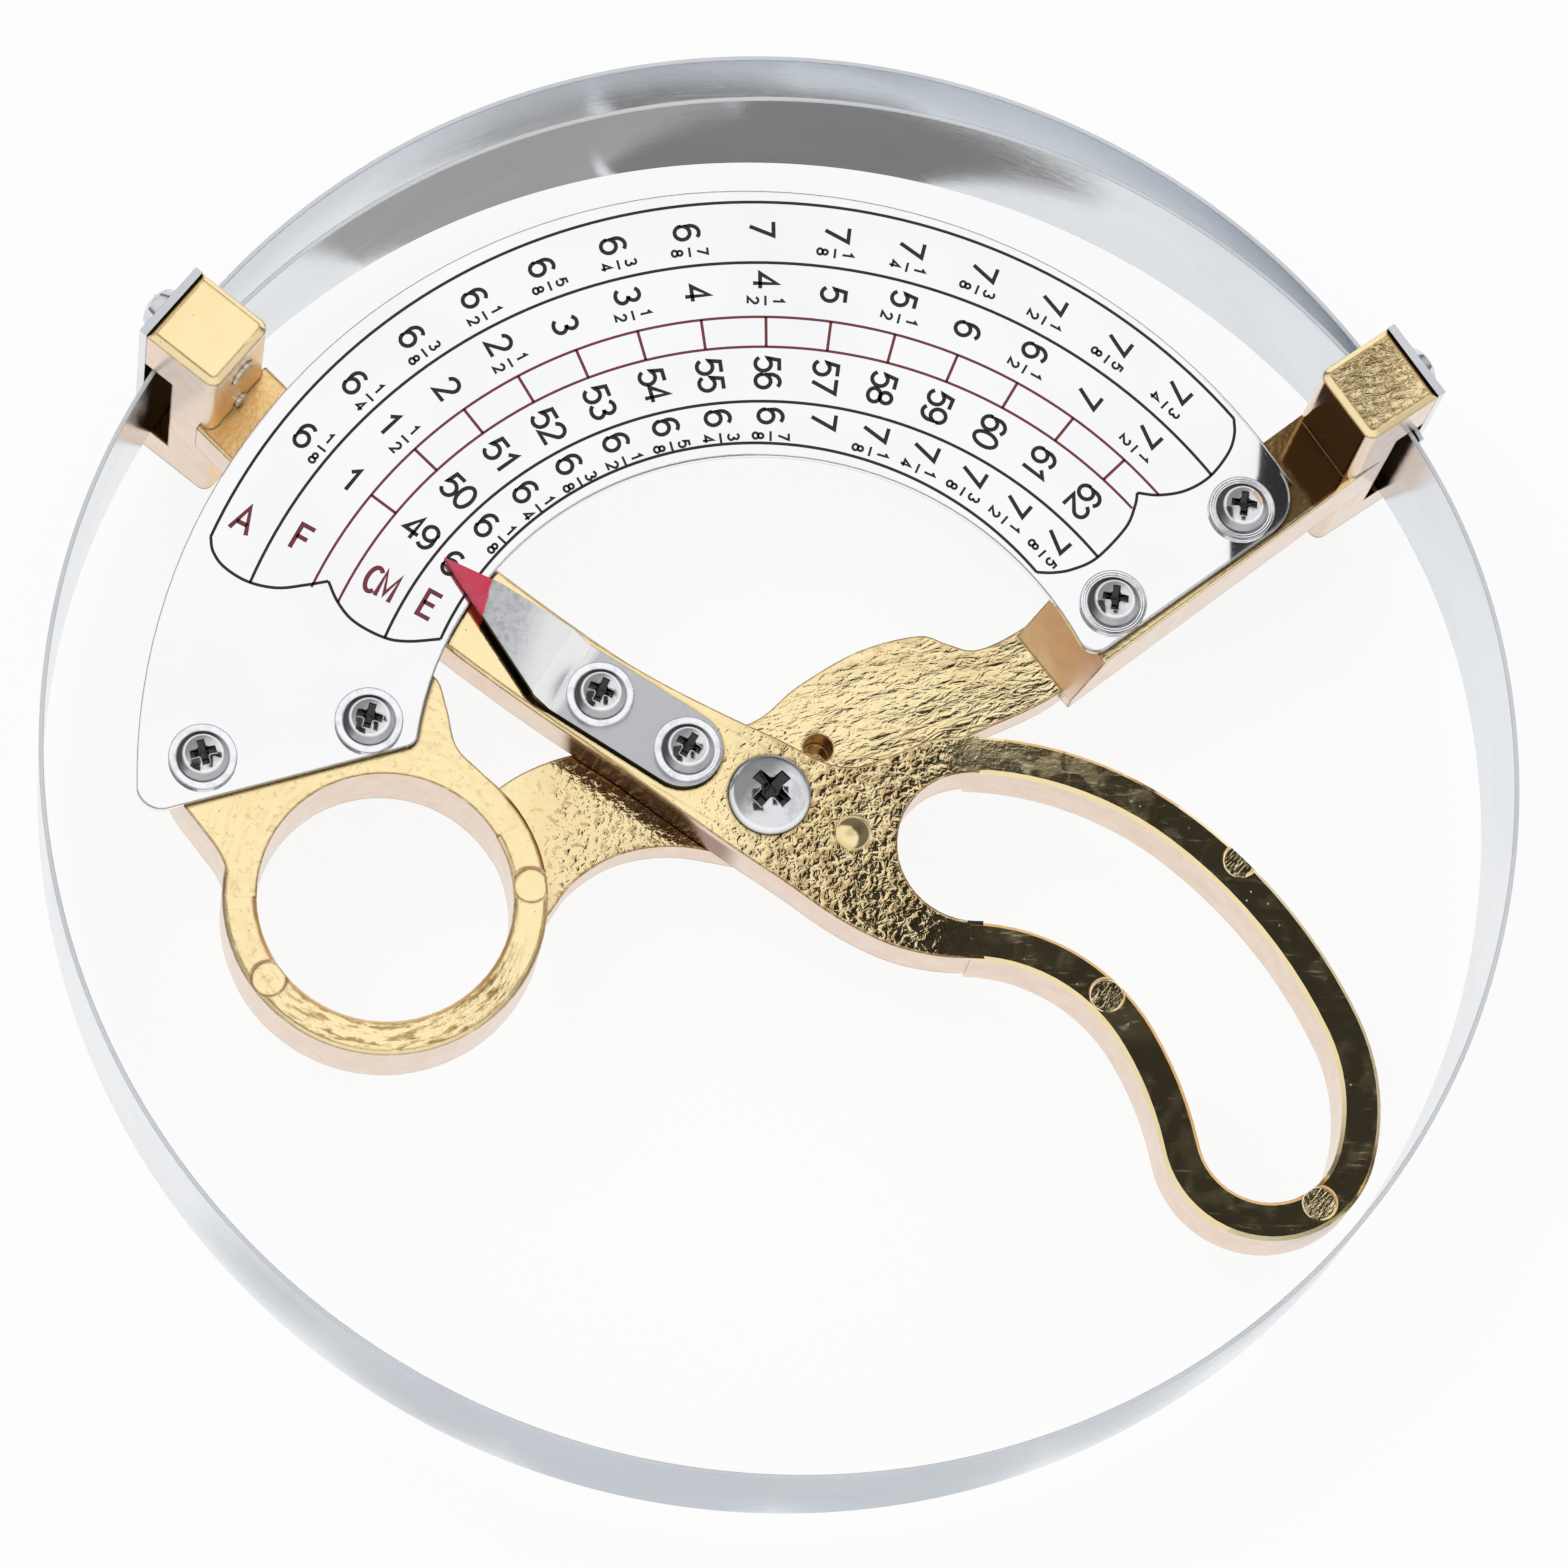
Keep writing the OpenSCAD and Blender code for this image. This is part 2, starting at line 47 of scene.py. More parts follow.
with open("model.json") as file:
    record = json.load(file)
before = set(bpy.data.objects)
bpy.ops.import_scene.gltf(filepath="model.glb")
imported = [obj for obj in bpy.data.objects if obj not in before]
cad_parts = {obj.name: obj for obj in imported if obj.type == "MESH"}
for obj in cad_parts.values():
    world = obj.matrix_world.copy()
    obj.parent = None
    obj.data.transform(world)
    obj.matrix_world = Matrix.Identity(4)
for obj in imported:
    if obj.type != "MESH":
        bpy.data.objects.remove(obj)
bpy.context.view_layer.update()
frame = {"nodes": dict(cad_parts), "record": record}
NODES = frame["nodes"]
HINGE = frame["record"]["behaviour"]["joints"][0]
PIVOT = Vector(HINGE["pos_m"][:2]) * 1000
MM = 0.001

SCREWS = [n for n in NODES if n.endswith("_screw") or "_screw_" in n or n.endswith("_rivet")]
WASHERS = [n for n in NODES if "_washer_" in n]
KEEPERS = [n for n in NODES if n.endswith("_keeper")]

# Places in plan, in millimetres, and ways in degrees that the castings have
RIGHT_POST = (62.85, 38.5)
RIGHT_FACE, LEFT_FACE = 34.5, 141
SCALE_BAR_WAY, POINTER_BAR_SIDE = 37.4, 235
CREASE_WAY, SCRATCH_WAY = 17, 52
RING_CENTRE = (-41.8, -15.7)
RING_MARKS = ((-26.6, -14.2), (-53.9, -24.7))
HANDLE_MARKS = ((48.6, -10.3), (33.9, -25.2), (55.7, -47.4))
LAP_HOLE, WEB_MIDDLE, WEB_BOWL = (4.8, 3.4), (7.0, -8.0), (7.4, -7.9)
POINTER_ROOT, POINTER_WAY = PIVOT + Vector((-8.7, 4.5)), 147.3
# Painted shade in the screws' recesses
RECESS_SHADE = (0.05, 0.05, 0.048)


def turn(degrees):
    """Unit vector in plan at an angle."""
    a = math.radians(degrees)
    return Vector((math.cos(a), math.sin(a)))


# Shader tools


class Value:
    """A number's socket in a finish; arithmetic on it adds Math nodes."""

    def __init__(self, finish, socket):
        self.finish = finish
        self.socket = socket

    def maths(self, operation, a, b=0.0, c=0.0):
        return self.finish.put("ShaderNodeMath", {"operation": operation}, {0: a, 1: b, 2: c})

    def __add__(self, other):
        return self.maths("ADD", self, other)

    def __radd__(self, other):
        return self.maths("ADD", other, self)

    def __sub__(self, other):
        return self.maths("SUBTRACT", self, other)

    def __rsub__(self, other):
        return self.maths("SUBTRACT", other, self)

    def __mul__(self, other):
        return self.maths("MULTIPLY", self, other)

    def __rmul__(self, other):
        return self.maths("MULTIPLY", other, self)

    def __pow__(self, other):
        return self.maths("POWER", self, other)

    def __abs__(self):
        return self.maths("ABSOLUTE", self)

    def between(self, low, high):
        """0 below low, 1 above high and smooth between them."""
        return self.finish.put(
            "ShaderNodeMapRange",
            {"interpolation_type": "SMOOTHSTEP"},
            {"Value": self, "From Min": low, "From Max": high},
        )


class Finish:
    """A material or world under construction; every node comes from put()."""

    def __init__(self, owner):
        self.owner = owner
        owner.use_nodes = True
        self.tree = owner.node_tree
        self.tree.nodes.clear()

    def put(self, kind, settings=None, sockets=None, out=0):
        node = self.tree.nodes.new(kind)
        for key, value in (settings or {}).items():
            if key == "stops":
                ramp = node.color_ramp
                while len(ramp.elements) < len(value):
                    ramp.elements.new(1.0)
                for element, (place, colour) in zip(ramp.elements, value):
                    element.position = place
                    element.color = colour
            else:
                setattr(node, key, value)
        for key, value in (sockets or {}).items():
            if isinstance(value, Value):
                self.tree.links.new(value.socket, node.inputs[key])
            else:
                node.inputs[key].default_value = value
        return Value(self, node.outputs[out]) if node.outputs else None

    def spot(self):
        """The piece's own coordinates, in metres, as one vector."""
        return self.put("ShaderNodeTexCoord", out="Object")

    def place(self, axes="XYZ"):
        """The same vector, then a number in millimetres for each axis."""
        co = self.spot()
        return (co, *(self.part(co, axis) * 1000 for axis in axes))

    def on_head(self):
        """Place on a round head: its share of the width in X and Y, and 0 in the middle to 1 at the rim."""
        share = self.put("ShaderNodeTexCoord", out="Generated")
        x, y = self.part(share, "X"), self.part(share, "Y")
        return x, y, self.round_about(x - 0.5, y - 0.5) * 2

    def part(self, vector, axis):
        return self.put("ShaderNodeSeparateXYZ", None, {0: vector}, axis)

    def slope(self):
        """How level a face is: 1 on a flat top, 0 on an upright wall."""
        normal = self.put("ShaderNodeNewGeometry", out="Normal")
        return abs(self.part(normal, "Z"))

    def noise(self, vector, size_mm, detail=3.0, rough=0.55, twist=0.0):
        return self.put(
            "ShaderNodeTexNoise",
            None,
            {"Vector": vector, "Scale": 1000 / size_mm, "Detail": detail, "Roughness": rough,
                "Distortion": twist},
        )

    def cells(self, vector, size_mm):
        return self.put("ShaderNodeTexVoronoi", None, {"Vector": vector, "Scale": 1000 / size_mm})

    def stretched(self, x, y, z):
        return self.put("ShaderNodeCombineXYZ", None, {0: x, 1: y, 2: z})

    def mix(self, amount, a, b, how="MIX"):
        """Two colours mixed; each may be a tuple or a link."""
        def full(c):
            return c if isinstance(c, Value) else tuple(c)[:3] + (1.0,)
        return self.put(
            "ShaderNodeMix",
            {"data_type": "RGBA", "blend_type": how},
            {0: amount, 6: full(a), 7: full(b)},
            2,
        )

    def soft_edge(self, radius_mm, samples=6):
        return self.put("ShaderNodeBevel", {"samples": samples}, {"Radius": radius_mm * MM})

    def bump(self, height, depth_mm, strength=1.0, normal=None):
        links = {"Height": height, "Distance": depth_mm * MM, "Strength": strength}
        if normal is not None:
            links["Normal"] = normal
        return self.put("ShaderNodeBump", None, links)

    def close(self, **sockets):
        """Ends the finish with its surface shader; socket names are written with underscores."""
        return self.show(self.put("ShaderNodeBsdfPrincipled", None,
            {k.replace("_", " "): v for k, v in sockets.items()}))

    def show(self, shader, output="ShaderNodeOutputMaterial"):
        self.put(output, None, {"Surface": shader})
        return self.owner

    def edge_line(self, soft):
        """How far a rounded normal leans from the face: 0 on the face, up to 0.3 on its edge."""
        face = self.put("ShaderNodeNewGeometry", out="True Normal")
        return 1 - self.put("ShaderNodeVectorMath", {"operation": "DOT_PRODUCT"}, {0: soft, 1: face}, "Value")

    def lean(self, amount, normal):
        """A rounded normal, brought back to the face's own by an amount."""
        face = self.put("ShaderNodeNewGeometry", out="Normal")
        return self.put("ShaderNodeMix", {"data_type": "VECTOR"}, {0: amount, 4: normal, 5: face}, 1)

    def faces(self, way):
        """1 on upright faces that look along a direction in plan."""
        normal = self.put("ShaderNodeNewGeometry", out="Normal")
        return (self.part(normal, "X") * way.x + self.part(normal, "Y") * way.y).between(0.7, 0.95)

    def open_air(self, reach_mm, alone=True):
        """How open a spot of the piece is, alone or among the others: 0 deep in a recess, 1 on a free face."""
        return self.put("ShaderNodeAmbientOcclusion", {"samples": 8, "only_local": alone},
            {"Distance": reach_mm * MM}, "AO")

    def round_about(self, x, y):
        """Distance from an axis, for two offsets in plan."""
        return (x * x + y * y) ** 0.5

    def away_from(self, x, y, at):
        """Distance in plan from a place on the gauge."""
        return self.round_about(x - at[0], y - at[1])


def finish(name):
    """A new material, ready for its nodes."""
    return Finish(bpy.data.materials.new(name))


def dress(name, material):
    """Gives a node's object its finish."""
    piece = NODES[name]
    if not piece.material_slots:
        piece.data.materials.append(material)
    for place in piece.material_slots:
        place.link = "OBJECT"
        place.material = material


def shaded(colour, by):
    """A colour turned down, by one factor or by one for each channel."""
    by = by if isinstance(by, tuple) else (by, by, by)
    return tuple(c * k for c, k in zip(colour, by))


# Settings


class GaugeFinishes(bpy.types.PropertyGroup):
    """Colours of the gauge's finishes."""

    gold: bpy.props.FloatVectorProperty(
        name="Gold", description="Polished top faces of the castings", subtype="COLOR", size=3,
        default=(1.0, 0.83, 0.48), min=0, max=1)
    gold_wall: bpy.props.FloatVectorProperty(
        name="Casting wall", description="Upright sides of the castings", subtype="COLOR", size=3,
        default=(0.84, 0.675, 0.55), min=0, max=1)
    # Brown of the castings' real stains, and of the painted shade on their edges, in recesses and where pieces come
    # close
    gold_brown: bpy.props.FloatVectorProperty(
        name="Casting edge", description="Brown edges and stains of the castings", subtype="COLOR", size=3,
        default=(0.40, 0.235, 0.085), min=0, max=1)
    gold_pit: bpy.props.FloatVectorProperty(
        name="Casting pits", description="Pits and seams of the castings", subtype="COLOR", size=3,
        default=(0.16, 0.10, 0.045), min=0, max=1)
    gold_amber: bpy.props.FloatVectorProperty(
        name="Casting amber", description="Warm rough faces by the left post", subtype="COLOR", size=3,
        default=(0.95, 0.60, 0.24), min=0, max=1)
    plate: bpy.props.FloatVectorProperty(
        name="Plate", description="Bright scale plate", subtype="COLOR", size=3,
        default=(0.95, 0.95, 0.96), min=0, max=1)
    pointer: bpy.props.FloatVectorProperty(
        name="Pointer", description="Pointer sheet", subtype="COLOR", size=3,
        default=(0.64, 0.65, 0.68), min=0, max=1)
    pointer_tip: bpy.props.FloatVectorProperty(
        name="Pointer tip", description="Paint on the pointer's tip", subtype="COLOR", size=3,
        default=(0.52, 0.055, 0.115), min=0, max=1)
    screw: bpy.props.FloatVectorProperty(
        name="Screws", description="Plated screws, washers and rivets", subtype="COLOR", size=3,
        default=(0.74, 0.745, 0.77), min=0, max=1)
    spring: bpy.props.FloatVectorProperty(
        name="Band", description="Spring strip and keepers", subtype="COLOR", size=3,
        default=(0.76, 0.79, 0.825), min=0, max=1)
    black_ink: bpy.props.FloatVectorProperty(
        name="Black ink", description="Numbers and row lines", subtype="COLOR", size=3,
        default=(0.005, 0.005, 0.006), min=0, max=1)
    red_ink: bpy.props.FloatVectorProperty(
        name="Red ink", description="Row letters and centimetre marks", subtype="COLOR", size=3,
        default=(0.14, 0.018, 0.028), min=0, max=1)


class GaugePrint(bpy.types.PropertyGroup):
    """Sizes of the scale's print, in millimetres."""

    digit: bpy.props.FloatProperty(
        name="Digit height", description="Height of the main digits in millimetres", default=2.75, min=1, max=4)
    fraction: bpy.props.FloatProperty(
        name="Fraction height", description="Height of the fractions' digits in millimetres",
        default=1.2, min=0.5, max=2)
    letter: bpy.props.FloatProperty(
        name="Letter height", description="Height of the row letters in millimetres", default=3.0, min=1, max=5)
    stroke: bpy.props.FloatProperty(
        name="Digit stroke", description="Line width of the digits in millimetres", default=0.43, min=0.1, max=0.8)
    line: bpy.props.FloatProperty(
        name="Row line", description="Width of the row lines in millimetres", default=0.32, min=0.1, max=0.8)
    ink: bpy.props.FloatProperty(
        name="Ink thickness", description="Thickness of the print in millimetres", default=0.03, min=0.01, max=0.1)
    first: bpy.props.FloatProperty(
        name="First mark", description="Angle of the first mark about the pivot in degrees",
        default=142.6, min=120, max=160)
    step: bpy.props.FloatProperty(
        name="Mark step", description="Angle from one mark to the next in degrees", default=7.56, min=5, max=10)


class GaugeBand(bpy.types.PropertyGroup):
    """Sizes of the sizing band, in millimetres."""

    radius: bpy.props.FloatProperty(
        name="Loop radius", description="Outer radius of the loop in millimetres", default=78.0, min=70, max=90)
    thickness: bpy.props.FloatProperty(
        name="Thickness", description="Thickness of the strip in millimetres", default=0.5, min=0.2, max=1)
    step: bpy.props.FloatProperty(
        name="Step", description="Length of one mesh step along the strip in millimetres", default=1.4, min=0.5, max=5)
    edge: bpy.props.FloatProperty(
        name="Edge break", description="Chamfer of the strip's long edges in millimetres",
        default=0.08, min=0, max=0.2)


class GaugeStage(bpy.types.PropertyGroup):
    """Camera and light of the stage."""

    camera_at: bpy.props.FloatVectorProperty(
        name="Camera", description="Place of the camera", subtype="TRANSLATION", unit="LENGTH", size=3,
        default=(-0.0794, -0.2214, 0.7357))
    aim: bpy.props.FloatVectorProperty(
        name="Aim", description="Point that the camera looks at", subtype="TRANSLATION", unit="LENGTH", size=3,
        default=(0.00163, 0.00137, 0.0060))
    lens: bpy.props.FloatProperty(
        name="Lens", description="Focal length of the camera in millimetres", default=164.2, min=20, max=400)
    sky: bpy.props.FloatProperty(
        name="Sky", description="Strength of the soft light from all round", default=0.82, min=0, max=2)
    lamp: bpy.props.FloatProperty(
        name="Lamp", description="Power of the large soft lamp", subtype="POWER", unit="POWER", default=2.2, min=0)
    shadow: bpy.props.FloatProperty(
        name="Shadow", description="Share of the floor that shows light and shadow", subtype="FACTOR",
        default=0.12, min=0, max=1)


# Finishes


def casting_gold(name, look, skin):
    """Gold die casting: bright pitted tops, pale pink walls, painted shade on the edges, in recesses and where other
    pieces come close, and the skin that its place gives.
    """
    f = finish(name)
    co, x, y, z = f.place()
    level = f.slope().between(0.6, 0.7)
    relief, matt, hard, glint, tints = skin(f, look, co, x, y, z, f.slope().between(0.85, 0.97))
    fine = f.noise(co, 0.5, 2.0, 0.5)
    pits = 1 - f.cells(co, 1.1).between(0.03, 0.09)
    pitted = pits * f.noise(co, 4.2, 2.0).between(0.52, 0.62)
    patch = f.noise(co, 6.0, 3.0, 0.6).between(0.42, 0.72)
    top = f.mix(patch * 0.4, look.gold, shaded(look.gold, (0.95, 0.88, 0.74)))
    cloud = f.noise(co, 2.6, 4.0, 0.6).between(0.35, 0.7)
    wall = f.mix(cloud * 0.6, look.gold_wall, shaded(look.gold_wall, (0.90, 0.84, 0.78)))
    base = f.mix(level, wall, top)
    for share, colour in tints:
        base = f.mix(share, base, colour)
    soft = f.lean(hard, f.soft_edge(0.42))
    # Painted shade: rounded edges are painted brown, except where the glint mask leaves an edge bright
    line = f.edge_line(soft).between(0.012, 0.055) * f.noise(co, 1.6, 3.0).between(0.25, 0.5) * (1 - glint)
    base = f.mix(line * 0.9, base, shaded(look.gold_brown, (0.75, 0.55, 0.4)))
    # Painted shade in recesses, left off where the glint mask is
    base = f.mix(f.open_air(4.0).between(0.3, 0.65) + glint, shaded(look.gold_brown, 0.2), base)
    # Painted shade where other pieces come close
    contact_shade = (f.open_air(0.7) - f.open_air(0.7, False)).between(0.1, 0.45)
    base = f.mix(contact_shade, base, shaded(look.gold_brown, 0.3))
    base = f.mix(pitted * 0.8, base, look.gold_pit)
    normal = f.bump(relief + fine * 0.003 - pitted * 0.03, 1.0, 1.0, soft)
    dull = 0.22 - level * 0.17 + fine * 0.02 + matt
    return f.close(Base_Color=base, Metallic=1.0, Roughness=dull, Normal=normal)


def marks_in(f, x, y, places):
    """Inside of the round mould marks, with their slanting scratches."""
    inside = 0.0
    for at in places:
        inside = (1 - f.away_from(x, y, at).between(1.65, 1.85)) + inside
    way = turn(SCRATCH_WAY)
    along, across = x * way.x + y * way.y, y * way.x - x * way.y
    scratched = f.noise(f.stretched(along * 0.0003, across * 0.001, 0.0), 0.6, 3.0)
    return inside * scratched


def ring_arm_skin(f, look, co, x, y, z, flat):
    """Scale arm: wrinkled lap and post top, tool rings round the pivot and drawn streaks on the ring; painted shade on
    the bar's top by the right post and a painted warm glow in the blind hole.
    """
    way = turn(CREASE_WAY)
    along, across = x * way.x + y * way.y, y * way.x - x * way.y
    crease = f.noise(f.stretched(along * 0.0005, across * 0.0012, z * 0.001), 0.95, 3.0, 0.55, 0.6)
    fold = f.noise(f.stretched(along * 0.0006, across * 0.0012, z * 0.001), 4.6, 3.0, 0.5, 0.8)
    grain = f.noise(co, 0.75, 2.5, 0.5, 0.4)
    lap = (1 - z.between(13.0, 13.6)) * x.between(-29, -22) * flat
    left_lap = lap * (1 - x.between(-10, 0))
    by_post = x.between(45, 48)
    head = by_post * z.between(29, 31) * flat
    seat = by_post * (1 - z.between(21, 23)) * f.slope().between(0.4, 0.5)
    inner_face = f.faces(-turn(RIGHT_FACE)) * by_post
    bar_way = turn(SCALE_BAR_WAY)
    in_front = (x - RIGHT_POST[0]) * bar_way.y - (y - RIGHT_POST[1]) * bar_way.x
    # Along the bar's front edge and in the blind hole the painted edge and recess shade are left off
    rim = in_front.between(4.0, 4.2) * z.between(18.5, 19.0) * (1 - z.between(21, 23)) * x.between(20, 24)
    hole = (1 - f.away_from(x, y, LAP_HOLE).between(1.62, 1.75)) * (1 - z.between(12.4, 12.7))
    ring = (1 - x.between(-31, -26)) * flat
    dx, dy = x - RING_CENTRE[0], y - RING_CENTRE[1]
    drawn = f.noise(f.stretched(x.maths("ARCTAN2", dy, dx) * 0.006, f.round_about(dx, dy) * 0.0016, 0.0),
        1.0, 4.0, 0.6)
    reach = f.away_from(x, y, PIVOT)
    tooled = reach.maths("SINE", reach * 9.5) * reach.between(5.0, 6.0) * (1 - reach.between(9.0, 10.5)) * lap
    marks = marks_in(f, x, y, RING_MARKS)
    low = 1 - (y - x * 0.25).between(-18, -9)
    far_side = 1 - (x - y).between(18, 29)
    relief = (lap * (crease * 0.03 + fold * 0.045) + left_lap * grain * 0.06
        + head * crease * (0.014 + far_side * 0.02)
        + ring * (drawn * (0.02 + low * 0.045) + grain * 0.012) + tooled * 0.005 + marks * 0.02)
    border = lap * y.between(10, 15) * crease.between(0.4, 0.6)
    stain = (lap * fold.between(0.56, 0.7) * 0.15 + border * 0.4
        + left_lap * (0.12 + grain.between(0.54, 0.64) * 0.5)
        + ring * drawn.between(0.48, 0.62) * (low * 0.75 + 0.12) + ring * grain.between(0.58, 0.66) * 0.25
        + head * (far_side * 0.1 + 0.05 + crease.between(0.45, 0.58) * 0.4))
    # Painted shade: the bar's top by the right post is painted dark brown, a painted dark reflection
    deep = shaded(look.gold_brown, (0.75, 0.75, 0.8))
    plain = seat * (1 - rim)
    # Painted reflection: the blind hole is painted amber for the warm glow inside it
    amber = shaded(look.gold_amber, 0.62)
    return relief, inner_face * -0.14, plain, rim + hole * 0.75, [
        (stain, look.gold_brown), (plain * 0.96, deep), (hole, amber)]


def loop_arm_skin(f, look, co, x, y, z, flat):
    """Pointer arm: grainy web round the pivot, sandy bar by the post, smooth handle with fine scratches; painted shade
    on the low flat faces by the post, in a crescent of the dimple and on the bar's side over the lap.
    """
    web = (1 - f.away_from(x, y, WEB_MIDDLE).between(11.0, 26.0)) * (1 - x.between(14.5, 20.5)) * flat
    grain = f.noise(co, 0.85, 2.5, 0.5, 0.5)
    fold = f.noise(co, 3.4, 2.0, 0.5, 0.8)
    by_post = (1 - x.between(-54, -44)) * (1 - z.between(31, 32))
    sandy = by_post * flat
    inner_face = f.faces(-turn(LEFT_FACE)) * by_post
    sand = f.noise(co, 0.6, 3.0, 0.6)
    scratch = f.noise(f.stretched(x * 0.0003, y * 0.0014, z * 0.001), 0.7, 4.0, 0.6)
    handle = x.between(16, 26) * flat
    bar = x.between(-46, -40) * (1 - x.between(-14, -4)) * flat
    marks = marks_in(f, x, y, HANDLE_MARKS)
    dx, dy = x - WEB_BOWL[0], y - WEB_BOWL[1]
    bowl = (1 - f.round_about(dx, dy).between(1.6, 1.85)) * f.slope().between(0.6, 0.7)
    # Painted shade: a crescent inside the dimple is painted dark
    dimple_shade = bowl * (f.round_about(dx + 0.75, dy + 0.5) + grain * 0.5).between(1.5, 1.8)
    relief = (web * (1 - bowl) * (grain * 0.04 + fold * 0.03) + (sandy + inner_face) * sand * 0.06
        + bar * scratch * 0.008 + handle * (scratch * 0.003 + grain * 0.003) + marks * 0.05)
    stain = web * x.between(-8, 2) * (1 - bowl) * (0.12 + grain.between(0.44, 0.56) * 0.5)
    warm = (sandy + inner_face) * (0.45 + sand.between(0.42, 0.6) * 0.5)
    cloudy = handle * (scratch.between(0.56, 0.7) * 0.07 + fold.between(0.45, 0.65) * 0.05)
    matt = sandy * 0.22 + inner_face * 0.08 + bowl * 0.3 + cloudy
    # Painted shade: the low flat faces by the post are painted dark
    pocket = by_post * (1 - z.between(7, 9))
    # Painted shade on the bar's side over the lap
    over_lap = x.between(-23.5, -21.5) * (1 - x.between(-6.5, -4.0)) * (1 - z.between(17.4, 18.6))
    shade = f.faces(turn(POINTER_BAR_SIDE)) * over_lap
    deep = shaded(look.gold_brown, (0.12, 0.1, 0.08))
    return relief, matt, x.between(18.5, 19.5), 0.0, [
        (stain, look.gold_brown), (warm, look.gold_amber), (pocket * flat + dimple_shade * 0.85, deep),
        (shade * 0.9, shaded(look.gold_brown, (0.55, 0.34, 0.35)))]


def plate_steel(name, look):
    """Mirror-bright sheet with a faint cloud, hairline scratches and a painted dark reflection on its edge."""
    f = finish(name)
    co, x, y = f.place("XY")
    cloud = f.noise(co, 16.0, 3.0, 0.5)
    hair = f.noise(f.stretched(x * 0.004, y * 0.0006, 0.0), 0.35, 2.0).between(0.62, 0.72)
    soft = f.soft_edge(0.34)
    base = f.mix(cloud.between(0.35, 0.7) * 0.5, look.plate, shaded(look.plate, (0.93, 0.935, 0.96)))
    # Painted reflection: the rounded edge is painted dark grey
    base = f.mix(f.edge_line(soft).between(0.02, 0.12) * 0.95, base, (0.06, 0.06, 0.065))
    dull = 0.008 + cloud * 0.012 + hair * 0.03
    normal = f.bump(f.noise(co, 26.0, 2.0), 0.05, 0.2, soft)
    return f.close(Base_Color=base, Metallic=1.0, Roughness=dull, Normal=normal)


def pointer_steel(name, look):
    """Dull rolled sheet of the pointer: sides painted dark as painted shade, a painted highlight on its bend, a
    mottled blade and a hand-painted tip.
    """
    f = finish(name)
    co, x, y, z = f.place()
    way = turn(POINTER_WAY)
    dx, dy = x - POINTER_ROOT.x, y - POINTER_ROOT.y
    along, across = dx * way.x + dy * way.y, dy * way.x - dx * way.y
    drawn = f.noise(f.stretched(along * 0.0008, across * 0.006, z * 0.001), 0.5, 3.0)
    blade = along.between(17.5, 21.0)
    mottle = f.noise(co, 0.55, 3.0, 0.6).between(0.42, 0.66) * blade
    speck = (1 - f.cells(co, 0.75).between(0.04, 0.15)) * f.noise(co, 3.0, 3.0).between(0.48, 0.66)
    steel = f.mix(drawn.between(0.3, 0.7) * 0.4, look.pointer, shaded(look.pointer, 0.88))
    steel = f.mix(mottle * 0.55, steel, shaded(look.pointer, 0.62))
    # Painted highlight on the pointer's bend
    bend_highlight = along.between(13.2, 14.2) * (1 - (along + across * 0.3).between(17.5, 23.0))
    steel = f.mix(bend_highlight * (0.7 + drawn * 0.5), steel, (0.97, 0.97, 0.97))
    steel = f.mix(speck * 0.5, steel, (0.22, 0.22, 0.23))
    # Painted shade: the upright sides are painted near black
    facing = f.part(f.put("ShaderNodeNewGeometry", out="Normal"), "Z")
    steel = f.mix(facing.between(0.35, 0.6), (0.03, 0.028, 0.026), steel)
    edge = along + across * 0.25 + f.noise(co, 2.4, 2.0) * 1.2
    painted = edge.between(26.3, 26.6)
    thick = f.noise(co, 2.6, 3.0).between(0.3, 0.75)
    paint = f.mix(thick, look.pointer_tip, shaded(look.pointer_tip, (1.1, 0.35, 0.4)))
    dull = 0.30 + drawn * 0.10 + mottle * 0.1 - painted * 0.04
    normal = f.bump(drawn * 0.2 + mottle * 0.3 + painted * (0.6 + thick * 0.4), 0.06, 0.5, f.soft_edge(0.22))
    return f.close(Base_Color=f.mix(painted, steel, paint), Metallic=1 - painted, Roughness=dull, Normal=normal)


